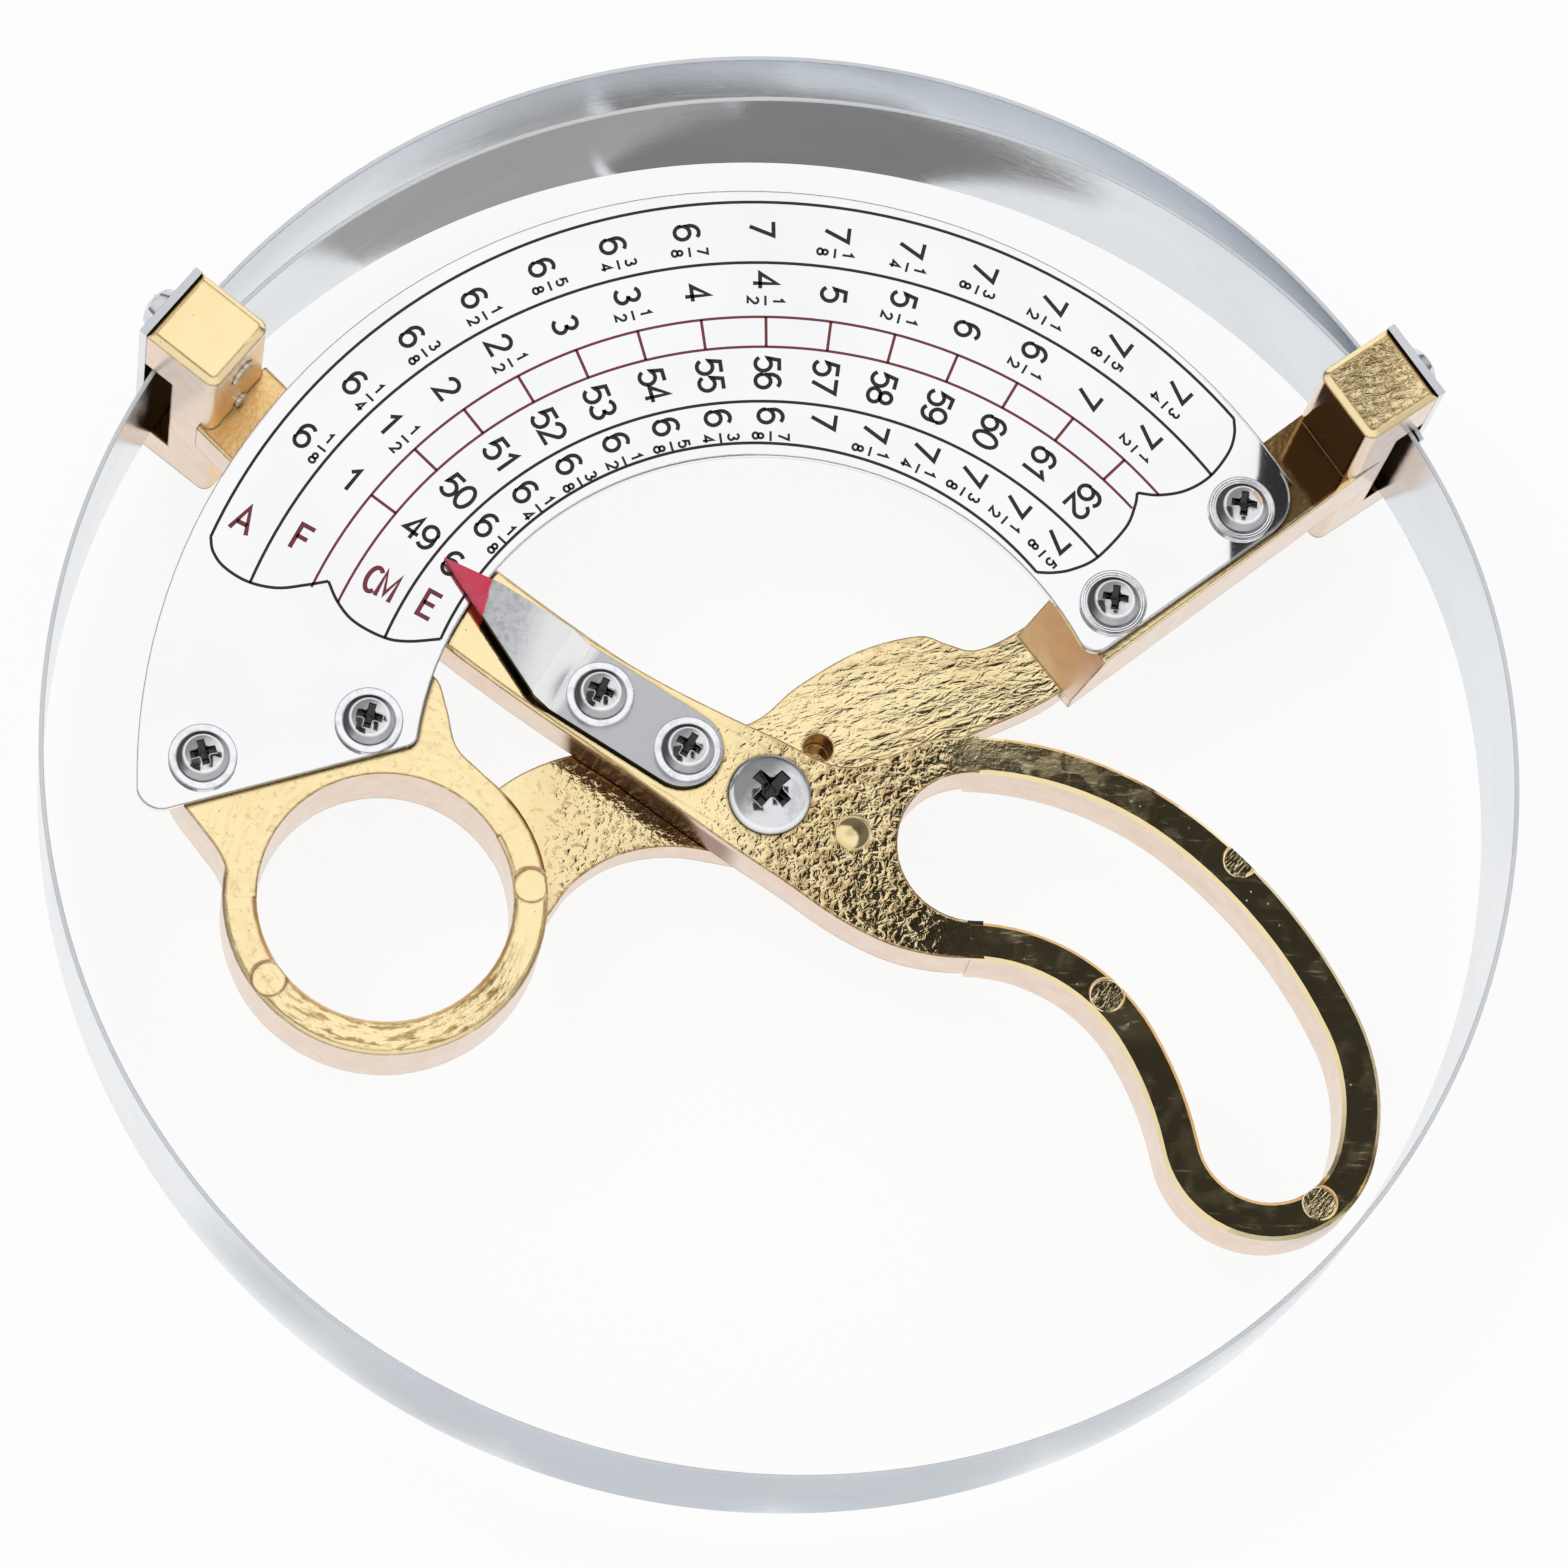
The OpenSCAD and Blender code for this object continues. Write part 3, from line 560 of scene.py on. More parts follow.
def screw_plating(name, look, lean=0.0, crown=0.0):
    """Bright plating with painted shade in the recess; a head that stands up leans its shine to the sky,
    is duller and painted darker outside its crown, and has a painted highlight at the crown's edge and painted shade
    on one side."""
    f = finish(name)
    co = f.spot()
    mark = f.noise(co, 0.9, 3.0, 0.6)
    stain = f.noise(co, 2.2, 3.0).between(0.45, 0.68)
    base = f.mix(stain * 0.5, look.screw, shaded(look.screw, 0.6))
    dull = 0.05 + mark * 0.08
    if crown:
        x, y, far = f.on_head()
        side = far.between(crown, crown + 0.1)
        crest_highlight = far.between(crown - 0.06, crown - 0.01) * (1 - side)
        # Painted shade: one side of the head is painted darker
        away = (y - x + mark * 0.3).between(0.0, 0.5)
        base = f.mix(away * 0.8, base, shaded(look.screw, 0.2))
        # Painted shade outside the crown
        base = f.mix(side * (0.45 + away * 0.55), base, shaded(look.screw, 0.1))
        # Painted highlight in a ring at the crown's edge
        base = f.mix(crest_highlight * 0.8, base, (0.95, 0.95, 0.95))
        # Painted shade: the cross recess is painted dark
        recess = (1 - far.between(0.5, 0.56)) * (1 - f.slope().between(0.72, 0.88))
        base = f.mix(recess * 0.85, base, RECESS_SHADE)
        dull = dull + side * 0.12
    # Painted shade: spots closed in by the screw's own shape are painted dark
    base = f.mix(f.open_air(3.0).between(0.6, 0.97), RECESS_SHADE, base)
    soft = f.soft_edge(0.2)
    if lean:
        soft = f.put("ShaderNodeMix", {"data_type": "VECTOR"}, {0: lean, 4: soft, 5: (0.0, 0.0, 1.0)}, 1)
    normal = f.bump(mark, 0.02, 0.6, soft)
    return f.close(Base_Color=base, Metallic=1.0, Roughness=dull, Normal=normal)


def washer_plating(name, look):
    """Plated washer: faint turning marks, painted shade round the head and a painted dark edge."""
    f = finish(name)
    co = f.spot()
    _, _, far = f.on_head()
    turned = far.maths("SINE", far * 90)
    mark = f.noise(co, 1.2, 3.0, 0.6)
    soft = f.soft_edge(0.28)
    rim = f.edge_line(soft).between(0.02, 0.12)
    # Painted shade on the washer round the head; below it is mixed with the plating's own darker marks
    head_shade = 1 - far.between(0.76, 0.82)
    ring = shaded(look.screw, 1.25)
    base = f.mix(mark.between(0.45, 0.7) * 0.2 + head_shade * 0.8, ring, shaded(look.screw, 0.2))
    # Painted shade: the rounded edge is painted dark
    base = f.mix(rim * 0.85, base, (0.10, 0.10, 0.105))
    normal = f.bump(turned * 0.05 + mark * 0.2, 0.05, 0.4, soft)
    return f.close(Base_Color=base, Metallic=1.0, Roughness=0.06 + mark * 0.06, Normal=normal)


def spring_strip(name, look):
    """Rolled spring strip: bluish, with faint lines along its length, oily clouds and painted shade on its edges."""
    f = finish(name)
    co, x, y, z = f.place()
    round_angle = x.maths("ARCTAN2", y, x)
    lines = f.noise(f.stretched(round_angle * 0.004, z * 0.005, 0.0), 0.3, 3.0)
    clouds = f.noise(f.stretched(round_angle * 0.03, z * 0.0006, 0.0), 7.0, 3.0, 0.5, 0.8)
    rust = (1 - f.cells(co, 1.3).between(0.03, 0.10)) * f.noise(co, 9.0, 2.0).between(0.58, 0.68)
    soft = f.soft_edge(0.12)
    base = f.mix(clouds.between(0.35, 0.7) * 0.3, look.spring, shaded(look.spring, 0.8))
    base = f.mix(rust * 0.6, base, (0.12, 0.12, 0.12))
    sheared = f.slope().between(0.5, 0.65)
    edge = f.edge_line(soft).between(0.03, 0.12)
    # Painted shade: the rounded edges are painted grey
    base = f.mix(edge * 0.8, base, (0.46, 0.47, 0.485))
    dull = 0.06 + lines * 0.06 + clouds * 0.05 + sheared * 0.5
    return f.close(Base_Color=base, Metallic=1.0, Roughness=dull, Normal=f.bump(lines, 0.02, 0.35, soft))


def scale_ink(name, colour):
    """Screen-printed ink, a little uneven in tone and gloss."""
    f = finish(name)
    co = f.spot()
    coat = f.noise(co, 0.8, 3.0)
    base = f.mix(coat.between(0.3, 0.75) * 0.4, colour, tuple(c * 1.7 + 0.003 for c in colour))
    return f.close(Base_Color=base, Metallic=0.0, Roughness=0.42 + coat * 0.2, Normal=f.bump(coat, 0.01, 0.4))


# Print


def oval(cx, cy, rx, ry, start, end, count=14):
    """Points along part of an oval, from one angle to another."""
    steps = [start + (end - start) * i / count for i in range(count + 1)]
    return [(cx + rx * math.cos(math.radians(a)), cy + ry * math.sin(math.radians(a))) for a in steps]


def six():
    return [oval(0.03, 0.13, 0.30, 0.35, 48, 180, 9) + oval(0.01, -0.18, 0.28, 0.30, 180, -180, 18)]


# Strokes of each sign in a box one high, centred on its middle
SIGNS = {
    "0": [oval(0, 0, 0.29, 0.48, 90, -270, 22)],
    "1": [[(-0.2, 0.24), (0.05, 0.48), (0.05, -0.48)]],
    "2": [oval(0, 0.21, 0.28, 0.27, 170, -38, 12) + [(-0.29, -0.47), (0.3, -0.47)]],
    "3": [oval(-0.02, 0.24, 0.25, 0.235, 155, -80, 12), oval(-0.02, -0.225, 0.29, 0.25, 85, -155, 13)],
    "4": [[(0.12, -0.48), (0.12, 0.47), (-0.3, -0.2), (0.33, -0.2)]],
    "5": [[(0.26, 0.46), (-0.17, 0.46), (-0.24, 0.02)] + oval(0, -0.17, 0.29, 0.31, 140, -150, 14)],
    "6": six(),
    "7": [[(-0.29, 0.46), (0.29, 0.46), (-0.08, -0.48)]],
    "8": [oval(0, 0.235, 0.225, 0.235, 90, -270, 16), oval(0, -0.225, 0.285, 0.25, 90, -270, 18)],
    "9": [[(-px, -py) for px, py in six()[0]]],
    "A": [[(-0.34, -0.5), (0, 0.5), (0.34, -0.5)], [(-0.21, -0.16), (0.21, -0.16)]],
    "C": [oval(0.02, 0, 0.3, 0.48, 48, 312, 16)],
    "E": [[(0.3, 0.48), (-0.25, 0.48), (-0.25, -0.48), (0.3, -0.48)], [(-0.25, 0.02), (0.22, 0.02)]],
    "F": [[(0.3, 0.48), (-0.25, 0.48), (-0.25, -0.5)], [(-0.25, 0.02), (0.22, 0.02)]],
    "M": [[(-0.32, -0.5), (-0.32, 0.5), (0, -0.3), (0.32, 0.5), (0.32, -0.5)]],
}


class Printing:
    """A layer of ink on the plate, built from strokes in plan."""

    def __init__(self, low, high):
        self.low, self.high = low, high
        self.points, self.faces = [], []

    def stroke(self, path, width):
        """One stroke of constant width with mitred corners."""
        path = [Vector(p) for p in path]
        closed = (path[0] - path[-1]).length < 1e-6
        if closed:
            path = path[:-1]
        count = len(path)
        start = len(self.points)
        for i, here in enumerate(path):
            before = path[i - 1] if i or closed else None
            after = path[(i + 1) % count] if i < count - 1 or closed else None
            into = (here - before).normalized() if before is not None else None
            out = (after - here).normalized() if after is not None else None
            into, out = into or out, out or into
            along = (into + out).normalized()
            side = Vector((-along.y, along.x))
            reach = width / 2 / max(0.45, abs(side.dot(Vector((-into.y, into.x)))))
            for sign in (1, -1):
                at = (here + side * reach * sign) * MM
                self.points += [(at.x, at.y, self.low), (at.x, at.y, self.high)]
        for i in range(count if closed else count - 1):
            a = start + 4 * i
            b = start + 4 * ((i + 1) % count)
            self.faces += [(a + 1, a + 3, b + 3, b + 1), (a, b, b + 2, a + 2),
                (a, a + 1, b + 1, b), (a + 2, b + 2, b + 3, a + 3)]
        if not closed:
            z = start + 4 * (count - 1)
            self.faces += [(start, start + 2, start + 3, start + 1), (z, z + 1, z + 3, z + 2)]

    def arc(self, centre, radius, start, end, width):
        count = max(8, int(abs(end - start) / 1.5))
        self.stroke([centre + radius * turn(start + (end - start) * i / count) for i in range(count + 1)], width)

    def sign(self, text, at, angle, height, width, squeeze=1.0):
        """Signs written towards the pivot, one after another, about a point on a row."""
        read, up = -turn(angle), turn(angle - 90)
        pitch = height * 0.70 * squeeze
        first = -(len(text) - 1) / 2
        for i, letter in enumerate(text):
            middle = at + read * pitch * (first + i)
            for path in SIGNS[letter]:
                self.stroke([middle + (read * px * squeeze + up * py) * height for px, py in path], width)

    def piece(self, name, material):
        mesh = bpy.data.meshes.new(name)
        mesh.from_pydata(self.points, [], self.faces)
        mesh.validate()
        mesh.materials.append(material)
        made = bpy.data.objects.new(name, mesh)
        bpy.context.scene.collection.objects.link(made)
        return made


# Row lines of the scale: centre and radius of each, from the outside in
ROW_LINES = {
    "outer": (Vector((-0.69, -2.34)), 64.85),
    "second": (Vector((-0.61, -4.39)), 59.94),
    "marks_out": (Vector((-0.51, -4.78)), 54.11),
    "marks_in": (Vector((-0.49, -5.17)), 51.09),
    "fourth": (Vector((-0.81, -4.93)), 44.64),
    "inner": (Vector((-1.68, -2.49)), 37.46),
}
LEFT_END = [
    [(-60.3, 23.2), (-60.05, 21.6), (-58.9, 19.9), (-56.4, 18.3), (-53.3, 17.65), (-50.2, 18.05), (-47.9, 18.5)],
    [(-47.9, 18.5), (-46.9, 16.2), (-45.2, 14.1), (-42.1, 12.4), (-39.5, 12.0), (-36.5, 12.5)],
]
RIGHT_END = [
    [(49.04, 38.6), (49.35, 37.0), (48.6, 34.9), (46.5, 32.2), (43.8, 30.55), (40.9, 30.0), (38.6, 30.2)],
    [(38.6, 30.2), (38.3, 28.7), (37.2, 26.2), (34.0, 22.75), (31.3, 21.4), (29.25, 21.0), (27.6, 21.1)],
]


COLUMNS = range(14)
# Rows of numbers from the outside in: texts or counts of eighths, radius of the first, growth from one to
# the next, angle of the first, angle from one to the next, and how far out a number with a fraction sits
NUMBER_ROWS = (
    ([49 + i for i in COLUMNS], 62.45, 0.13, 141.8, 7.40, 0.0),
    ([8 + 4 * i for i in COLUMNS], 55.5, 0.12, 142.5, 7.54, 1.05),
    ([str(49 + i) for i in COLUMNS], 46.2, 0.1, 142.6, 7.58, 0.0),
    ([48 + i for i in COLUMNS], 41.55, 0.06, 143.6, 7.78, 0.0),
)
# Row letters: text, place and how narrow each is
ROW_LETTERS = (("A", (-56.8, 25.2), 0.95), ("F", (-50.7, 23.2), 0.9), ("CM", (-42.4, 18.4), 0.82),
    ("E", (-37.3, 16.1), 0.9))
# A fraction beside its whole number: place and half length of the bar, and the digits' distance from it
BAR_AT, BAR_HALF, TOP_AT, BOTTOM_AT = 2.3, 0.55, 1.4, 1.35


def smooth(points, count=6):
    """Smooth open curve through control points."""
    p = [Vector(q) for q in points]
    p = [p[0] * 2 - p[1]] + p + [p[-1] * 2 - p[-2]]
    made = []
    for a, b, c, d in zip(p, p[1:], p[2:], p[3:]):
        for i in range(count):
            t = i / count
            made.append(0.5 * (2 * b + (c - a) * t + (2 * a - 5 * b + 4 * c - d) * t * t
                + (3 * b - a - 3 * c + d) * t ** 3))
    return made + [p[-2]]


def on_line(line, point):
    """The point of a row line nearest to a point."""
    centre, radius = ROW_LINES[line]
    return centre + (Vector(point) - centre).normalized() * radius


def heading(line, point):
    """Angle of a point about a row line's centre."""
    away = Vector(point) - ROW_LINES[line][0]
    return math.degrees(math.atan2(away.y, away.x))


def meet(line, angle):
    """Where a ray from the pivot at an angle meets a row line."""
    centre, radius = ROW_LINES[line]
    way, off = turn(angle), PIVOT - centre
    along = off.dot(way)
    return PIVOT + way * (math.sqrt(along * along - off.dot(off) + radius * radius) - along)


def eighths(count):
    """Whole number and reduced fraction of a count of eighths."""
    whole, rest = divmod(count, 8)
    step = math.gcd(rest, 8) if rest else 1
    return str(whole), str(rest // step) if rest else "", str(8 // step)


def number_row(ink, size, values, radius, growth, first, step, tuck):
    """Writes one row of numbers; a value is a text or a count of eighths."""
    for i, value in enumerate(values):
        angle = first - step * i
        whole, top, bottom = (value, "", "") if isinstance(value, str) else eighths(value)
        at = PIVOT + turn(angle) * (radius + growth * i + (tuck if top else 0.0))
        ink.sign(whole, at, angle, size.digit, size.stroke)
        if not top:
            continue
        read, up = -turn(angle), turn(angle - 90)
        bar = at + read * BAR_AT
        ink.stroke([bar - read * BAR_HALF, bar + read * BAR_HALF], size.stroke * 0.6)
        ink.sign(top, bar + up * TOP_AT, angle, size.fraction, size.stroke * 0.6)
        ink.sign(bottom, bar - up * BOTTOM_AT, angle, size.fraction, size.stroke * 0.62)


# Operators


class GAUGE_OT_castings(bpy.types.Operator):
    """Finish the two gold castings"""

    bl_idname = "gauge.castings"
    bl_label = "Castings"

    def execute(self, context):
        look = context.scene.gauge_finishes
        dress("ring_arm", casting_gold("gold_scale_arm", look, ring_arm_skin))
        dress("loop_arm", casting_gold("gold_pointer_arm", look, loop_arm_skin))
        return {"FINISHED"}


class GAUGE_OT_scale_plate(bpy.types.Operator):
    """Finish the scale plate"""

    bl_idname = "gauge.scale_plate"
    bl_label = "Scale plate"

    def execute(self, context):
        dress("scale_plate", plate_steel("bright_plate", context.scene.gauge_finishes))
        return {"FINISHED"}


class GAUGE_OT_scale_print(bpy.types.Operator):
    """Print the rows, numbers, marks and row letters on the scale plate"""

    bl_idname = "gauge.scale_print"
    bl_label = "Scale print"

    def execute(self, context):
        look, size = context.scene.gauge_finishes, context.scene.gauge_print
        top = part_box("scale_plate")[1][2]
        low, high = top + 0.004 * MM, top + size.ink * MM
        lines = Printing(low, high)
        ends = {"outer": (LEFT_END[0][0], RIGHT_END[0][0]), "second": (LEFT_END[0][3], RIGHT_END[0][3]),
            "fourth": (LEFT_END[1][3], RIGHT_END[1][3]), "inner": (LEFT_END[1][-1], RIGHT_END[1][-1])}
        for name, (left, right) in ends.items():
            centre, radius = ROW_LINES[name]
            lines.arc(centre, radius, heading(name, left), heading(name, right), size.line)
        for upper, lower in (LEFT_END, RIGHT_END):
            lines.stroke(smooth([on_line("outer", upper[0])] + upper[1:]), size.line)
            lines.stroke(smooth(lower[:-1] + [on_line("inner", lower[-1])]), size.line)
        numbers = Printing(low, high)
        for row in NUMBER_ROWS:
            number_row(numbers, size, *row)
        marks = Printing(low, high)
        for name, left, right in (("marks_out", LEFT_END[0][5], RIGHT_END[0][5]),
                ("marks_in", LEFT_END[1][1], RIGHT_END[1][1])):
            centre, radius = ROW_LINES[name]
            marks.arc(centre, radius, heading(name, left), heading(name, right), size.line * 0.88)
        for i in COLUMNS:
            angle = size.first - size.step * i
            marks.stroke([meet("marks_out", angle), meet("marks_in", angle)], size.line)
        letters = Printing(low, high)
        for text, at, squeeze in ROW_LETTERS:
            away = Vector(at) - PIVOT
            angle = math.degrees(math.atan2(away.y, away.x))
            letters.sign(text, Vector(at), angle, size.letter, size.stroke * 1.15, squeeze)
        black = scale_ink("black_ink", look.black_ink)
        red = scale_ink("red_ink", look.red_ink)
        for ink, name, finish in ((lines, "scale_row_lines", black), (numbers, "scale_numbers", black),
                (marks, "scale_marks", red), (letters, "scale_row_letters", red)):
            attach(ink.piece(name, finish), "scale_arm")
        return {"FINISHED"}


class GAUGE_OT_pointer(bpy.types.Operator):
    """Finish the pointer and its painted tip"""

    bl_idname = "gauge.pointer"
    bl_label = "Pointer"

    def execute(self, context):
        dress("pointer", pointer_steel("pointer_sheet", context.scene.gauge_finishes))
        return {"FINISHED"}


class GAUGE_OT_screws(bpy.types.Operator):
    """Finish the screws, washers and rivets"""

    bl_idname = "gauge.screws"
    bl_label = "Screws and washers"

    def execute(self, context):
        look = context.scene.gauge_finishes
        pans = screw_plating("pan_screw_plating", look, 0.4, 0.74)
        dome = screw_plating("pivot_screw_plating", look, 0.35, 0.93)
        heads = screw_plating("screw_plating", look)
        rings = washer_plating("washer_plating", look)
        for name in SCREWS:
            dress(name, pans if "_screw_" in name else dome if name == "pivot_screw" else heads)
        for name in WASHERS:
            dress(name, rings)
        return {"FINISHED"}


class GAUGE_OT_sizing_band(bpy.types.Operator):
    """Build the spring strip, and finish the keepers"""

    bl_idname = "gauge.sizing_band"
    bl_label = "Band and keepers"

    def execute(self, context):
        look, size = context.scene.gauge_finishes, context.scene.gauge_band
        steel = spring_strip("spring_strip", look)
        band = self.strip(size, steel)
        for name in ("right_band_rivet", "left_band_rivet"):
            self.pierce(band, name)
        band.data.shade_smooth()
        band.data.set_sharp_from_angle(angle=math.radians(30))
        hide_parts("sizing_band")
        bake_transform(band)
        for name in KEEPERS:
            dress(name, steel)
        return {"FINISHED"}

    def strip(self, size, steel):
        """The strip as one closed mesh along three tangent arcs."""
        low, high = (corner[2] * 1000 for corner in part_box("sizing_band"))
        r, t, e = size.radius, size.thickness, size.edge
        bend_in, bend_turn, outer_end, inner_end = 8.0, 31.0, 27.3, 144.6
        inner_r, top_r = 66.996, r + 2.0
        inner_c = (r - inner_r) * turn(bend_in)
        top_c = inner_c + (inner_r - top_r) * turn(bend_in + bend_turn)
        arcs = ((Vector((0, 0)), r, outer_end, 360 + bend_in), (inner_c, inner_r, bend_in, bend_in + bend_turn),
            (top_c, top_r, bend_in + bend_turn, inner_end))
        rows = []
        for centre, radius, start, end in arcs:
            count = max(6, int(math.radians(end - start) * radius / size.step))
            rows += [(centre, radius, start + (end - start) * i / count)
                for i in range(0 if not rows else 1, count + 1)]
        section = [(0, low + e), (-e, low), (-t + e, low), (-t, low + e)]
        section += [(-t, low + (high - low) * i / 6) for i in range(1, 6)]
        section += [(-t, high - e), (-t + e, high), (-e, high), (0, high - e)]
        section += [(0, high - (high - low) * i / 6) for i in range(1, 6)]
        points = []
        for centre, radius, angle in rows:
            for depth, z in section:
                at = centre + (radius + depth) * turn(angle)
                points.append((at.x * MM, at.y * MM, z * MM))
        n = len(section)
        faces = []
        for i in range(len(rows) - 1):
            for j in range(n):
                a, b = i * n + j, i * n + (j + 1) % n
                faces.append((a, b, b + n, a + n))
        faces.append(tuple(range(n - 1, -1, -1)))
        faces.append(tuple(range(len(points) - n, len(points))))
        mesh = bpy.data.meshes.new("sizing_band_strip")
        mesh.from_pydata(points, [], faces)
        mesh.validate()
        mesh.materials.append(steel)
        made = bpy.data.objects.new("sizing_band_strip", mesh)
        bpy.context.scene.collection.objects.link(made)
        return made

    def pierce(self, band, rivet):
        """Cuts the rivet's hole through the layer that it holds."""
        low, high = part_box(rivet)
        middle = (Vector(low) + Vector(high)) / 2
        face = math.degrees(math.atan2(middle.y, middle.x))
        radius, half, count = 0.00086, 0.0016, 24
        side, up = turn(face + 90), Vector((0, 0, 1))
        way = turn(face).to_3d()
        ring = [side.to_3d() * radius * math.cos(math.tau * i / count)
            + up * radius * math.sin(math.tau * i / count) for i in range(count)]
        points = [middle + p - way * half for p in ring] + [middle + p + way * half for p in ring]
        faces = [(i, (i + 1) % count, (i + 1) % count + count, i + count) for i in range(count)]
        faces += [tuple(range(count - 1, -1, -1)), tuple(range(count, 2 * count))]
        mesh = bpy.data.meshes.new("rivet_hole")
        mesh.from_pydata(points, [], faces)
        cutter = bpy.data.objects.new("rivet_hole", mesh)
        bpy.context.scene.collection.objects.link(cutter)
        cut = band.modifiers.new("rivet_hole", "BOOLEAN")
        cut.operation = "DIFFERENCE"
        cut.solver = "EXACT"
        cut.object = cutter
        bpy.context.view_layer.update()
        seen = band.evaluated_get(bpy.context.evaluated_depsgraph_get())
        pierced = bpy.data.meshes.new_from_object(seen)
        band.modifiers.clear()
        band.data = pierced
        bpy.data.objects.remove(cutter)


# Half the floor's width and its height, a hair under the feet, and the lamp's place, in metres
FLOOR_HALF, FLOOR_Z = 2.5, -0.00006
LAMP_AT, LAMP_SIZE = Vector((-0.45, 0.25, 0.9)), 0.7
# The photo camera's sensor in millimetres and its way to the right
SENSOR, CAMERA_RIGHT = 36, Vector((0.9943, -0.0155, 0.1057))
# Cards that only the polished metal shows: name, height, tone and outline in millimetres.
# The high ones are dark studio flags; the ones a hair over the floor are painted shade on the floor under and between
# the parts, and a painted grey reflection in front of the band.
CARDS = (
    ("dark_card_above", 720, (0.03, 0.03, 0.03), [(77, -160), (198, -160), (198, 96), (220, 106), (460, 112),
        (460, 272), (197, 272), (190, 284), (181, 290), (180, 281), (173.5, 266), (173.5, 261), (188, 272), (190, 266),
        (170, 248), (128, 232), (93, 206), (77, 182)]),
    ("dark_card_post", 720, (0.12, 0.09, 0.08), [(184, 284.5), (192, 284), (196, 292), (214, 304.5), (214, 335),
        (184, 335)]),
    ("dark_card_left", 720, (0.045, 0.036, 0.032), [(-360, -300), (-110, -300), (-110, -60), (-360, -60)]),
    ("brown_card_left", 720, (0.13, 0.11, 0.10), [(-360, -60), (-110, -60), (-110, 0), (-130, 200), (-360, 200)]),
    # Painted shade and reflection on the floor, seen only in the metal
    ("floor_shade_under", 0.4, (0.03, 0.015, 0.008), [(34, 34), (44, 28), (51, 32), (46, 38.5), (40, 43.5)]),
    ("grey_floor_shade_behind", 0.4, (0.26, 0.245, 0.235), [(1, 58), (-0.5, 63), (-15.5, 67.6), (-13, 73), (3, 73.2),
        (12, 72.6), (16, 70.2), (33, 57.5), (16, 59)]),
    ("pale_floor_shade_behind", 0.4, (0.42, 0.405, 0.39), [(-1.7, 63), (-16.4, 67.6), (-14.6, 72.8), (-24, 70.2),
        (-35, 63.4), (-41, 58.5), (-41, 49), (-0.4, 58)]),
    ("pale_floor_reflection_front", 0.4, (0.66, 0.685, 0.71), [(-66, -47), (-50, -63), (-30, -74), (0, -79.5), (30, -74),
        (50, -63), (66, -47), (58, -62), (34, -82), (0, -90), (-34, -82), (-58, -62)]),
    ("floor_shade_between", 0.4, (0.30, 0.29, 0.285), [(-34, 70.2), (-22, 72.7), (-8, 74.7), (2, 75.6), (5, 76.3),
        (0, 77), (-8, 76.8), (-20, 74.6)]),
)


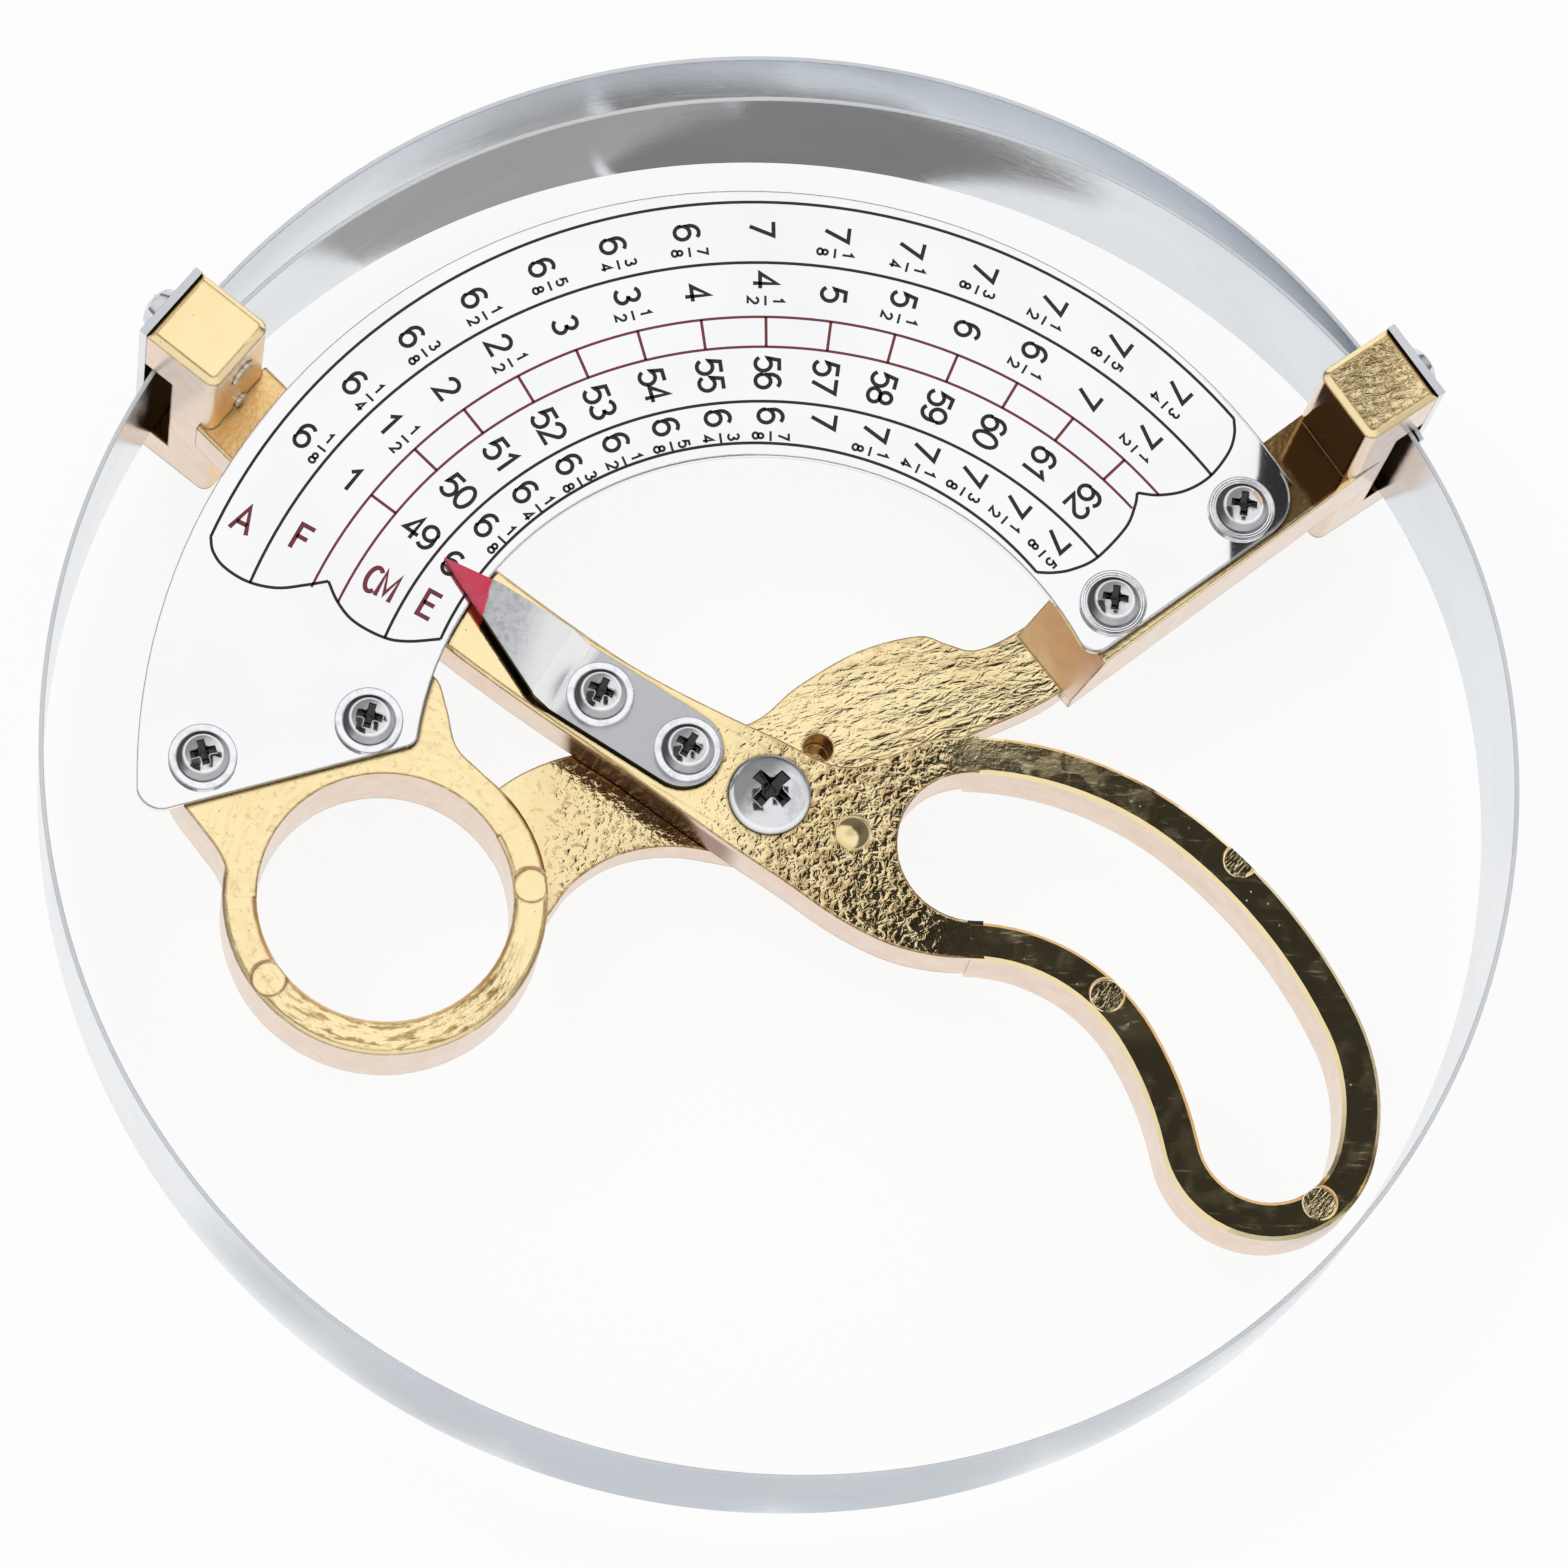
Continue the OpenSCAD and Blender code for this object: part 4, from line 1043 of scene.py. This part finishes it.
class GAUGE_OT_stage(bpy.types.Operator):
    """Set the floor, the light and the camera"""

    bl_idname = "gauge.stage"
    bl_label = "Stage"

    def execute(self, context):
        place = context.scene.gauge_stage
        self.floor(place)
        for name, height, tone, plan in CARDS:
            self.card(name, [(x * MM, y * MM, height * MM) for x, y in plan], tone)
        self.sky(context.scene, place)
        self.lamp(place)
        self.camera(context.scene, place)
        context.scene.view_settings.view_transform = "Standard"
        return {"FINISHED"}

    def sheet(self, name, points, material):
        mesh = bpy.data.meshes.new(name)
        mesh.from_pydata(points, [], [tuple(range(len(points)))])
        mesh.materials.append(material)
        made = bpy.data.objects.new(name, mesh)
        bpy.context.scene.collection.objects.link(made)
        return made

    def floor(self, place):
        """White floor that keeps a faint shadow."""
        f = finish("floor_white")
        seen = self.background_ray(f)
        paper = f.put("ShaderNodeBsdfDiffuse", None, {"Color": (0.93, 0.93, 0.93, 1)})
        glow = f.put("ShaderNodeEmission", None, {"Color": (1, 1, 1, 1), "Strength": 1.0})
        f.show(f.put("ShaderNodeMixShader", None, {0: seen * (1 - place.shadow), 1: paper, 2: glow}))
        corners = ((-1, -1), (1, -1), (1, 1), (-1, 1))
        self.sheet("floor", [(x * FLOOR_HALF, y * FLOOR_HALF, FLOOR_Z) for x, y in corners], f.owner)

    def background_ray(self, f):
        camera = f.put("ShaderNodeLightPath", out="Is Camera Ray")
        glossy = f.put("ShaderNodeLightPath", out="Is Glossy Ray")
        through = f.put("ShaderNodeLightPath", out="Is Transmission Ray")
        return camera.maths("MAXIMUM", camera.maths("MAXIMUM", camera, glossy), through)

    def card(self, name, points, tone):
        """Card of one tone, seen only in the polished metal: a dark studio flag up high, or painted shade or a painted
        reflection on the floor.
        """
        f = finish(name)
        f.show(f.put("ShaderNodeEmission", None, {"Color": tone + (1.0,), "Strength": 1.0}))
        card = self.sheet(name, points, f.owner)
        card.visible_camera = False
        card.visible_diffuse = False
        card.visible_shadow = False
        card.visible_transmission = False

    def sky(self, scene, place):
        """White dome, darker low down in reflections."""
        f = Finish(bpy.data.worlds.new("soft_dome"))
        rise = f.part(f.put("ShaderNodeTexCoord", out="Generated"), "Z")
        grey = f.put("ShaderNodeValToRGB", {"stops": [(0.0, (0.16, 0.16, 0.165, 1)), (0.08, (0.2, 0.2, 0.205, 1)),
            (0.2, (0.80, 0.80, 0.81, 1)), (0.40, (0.95, 0.95, 0.96, 1)), (0.60, (1, 1, 1, 1))]}, {0: rise})
        tone = f.mix(f.put("ShaderNodeLightPath", out="Is Glossy Ray"), (1, 1, 1), grey)
        strength = self.background_ray(f) * (1 - place.sky) + place.sky
        shader = f.put("ShaderNodeBackground", None, {"Color": tone, "Strength": strength})
        scene.world = f.show(shader, "ShaderNodeOutputWorld")

    def lamp(self, place):
        """Large soft lamp up on the left; the metal reflects the dome and not the lamp."""
        data = bpy.data.lights.new("soft_lamp", "AREA")
        data.shape = "DISK"
        data.size = LAMP_SIZE
        data.energy = place.lamp
        made = bpy.data.objects.new("soft_lamp", data)
        bpy.context.scene.collection.objects.link(made)
        made.location = LAMP_AT
        made.rotation_euler = (-LAMP_AT).to_track_quat("-Z", "Y").to_euler()
        made.visible_glossy = False

    def camera(self, scene, place):
        data = bpy.data.cameras.new("photo_camera")
        data.lens = place.lens
        data.sensor_width = SENSOR
        data.clip_start, data.clip_end = 0.05, 20
        made = bpy.data.objects.new("photo_camera", data)
        scene.collection.objects.link(made)
        at = Vector(place.camera_at)
        ahead = (Vector(place.aim) - at).normalized()
        up = CAMERA_RIGHT.cross(ahead).normalized()
        right = ahead.cross(up)
        made.matrix_world = Matrix((right, up, -ahead)).transposed().to_4x4()
        made.location = at
        scene.camera = made


class GAUGE_PT_panel(bpy.types.Panel):
    """Lists the gauge's pieces and settings"""

    bl_idname = "GAUGE_PT_panel"
    bl_label = "Hat sizing gauge"
    bl_space_type = "VIEW_3D"
    bl_region_type = "UI"
    bl_category = "Gauge"

    def draw(self, context):
        column = self.layout.column(align=True)
        for operator in OPERATORS:
            column.operator(operator.bl_idname)
        for place, group in GROUPS.items():
            box = self.layout.box()
            for name in group.__annotations__:
                box.prop(getattr(context.scene, place), name)


GROUPS = {"gauge_finishes": GaugeFinishes, "gauge_print": GaugePrint, "gauge_band": GaugeBand,
    "gauge_stage": GaugeStage}
OPERATORS = (GAUGE_OT_castings, GAUGE_OT_scale_plate, GAUGE_OT_scale_print, GAUGE_OT_pointer, GAUGE_OT_screws,
    GAUGE_OT_sizing_band, GAUGE_OT_stage)


def register():
    for cls in tuple(GROUPS.values()) + OPERATORS + (GAUGE_PT_panel,):
        bpy.utils.register_class(cls)
    for name, group in GROUPS.items():
        setattr(bpy.types.Scene, name, bpy.props.PointerProperty(type=group))


def unregister():
    for name in GROUPS:
        delattr(bpy.types.Scene, name)
    for cls in (GAUGE_PT_panel,) + OPERATORS[::-1] + tuple(GROUPS.values()):
        bpy.utils.unregister_class(cls)


def main():
    register()
    bpy.ops.gauge.castings()
    bpy.ops.gauge.scale_plate()
    bpy.ops.gauge.scale_print()
    bpy.ops.gauge.pointer()
    bpy.ops.gauge.screws()
    bpy.ops.gauge.sizing_band()
    bpy.ops.gauge.stage()


if __name__ == "__main__":
    main()
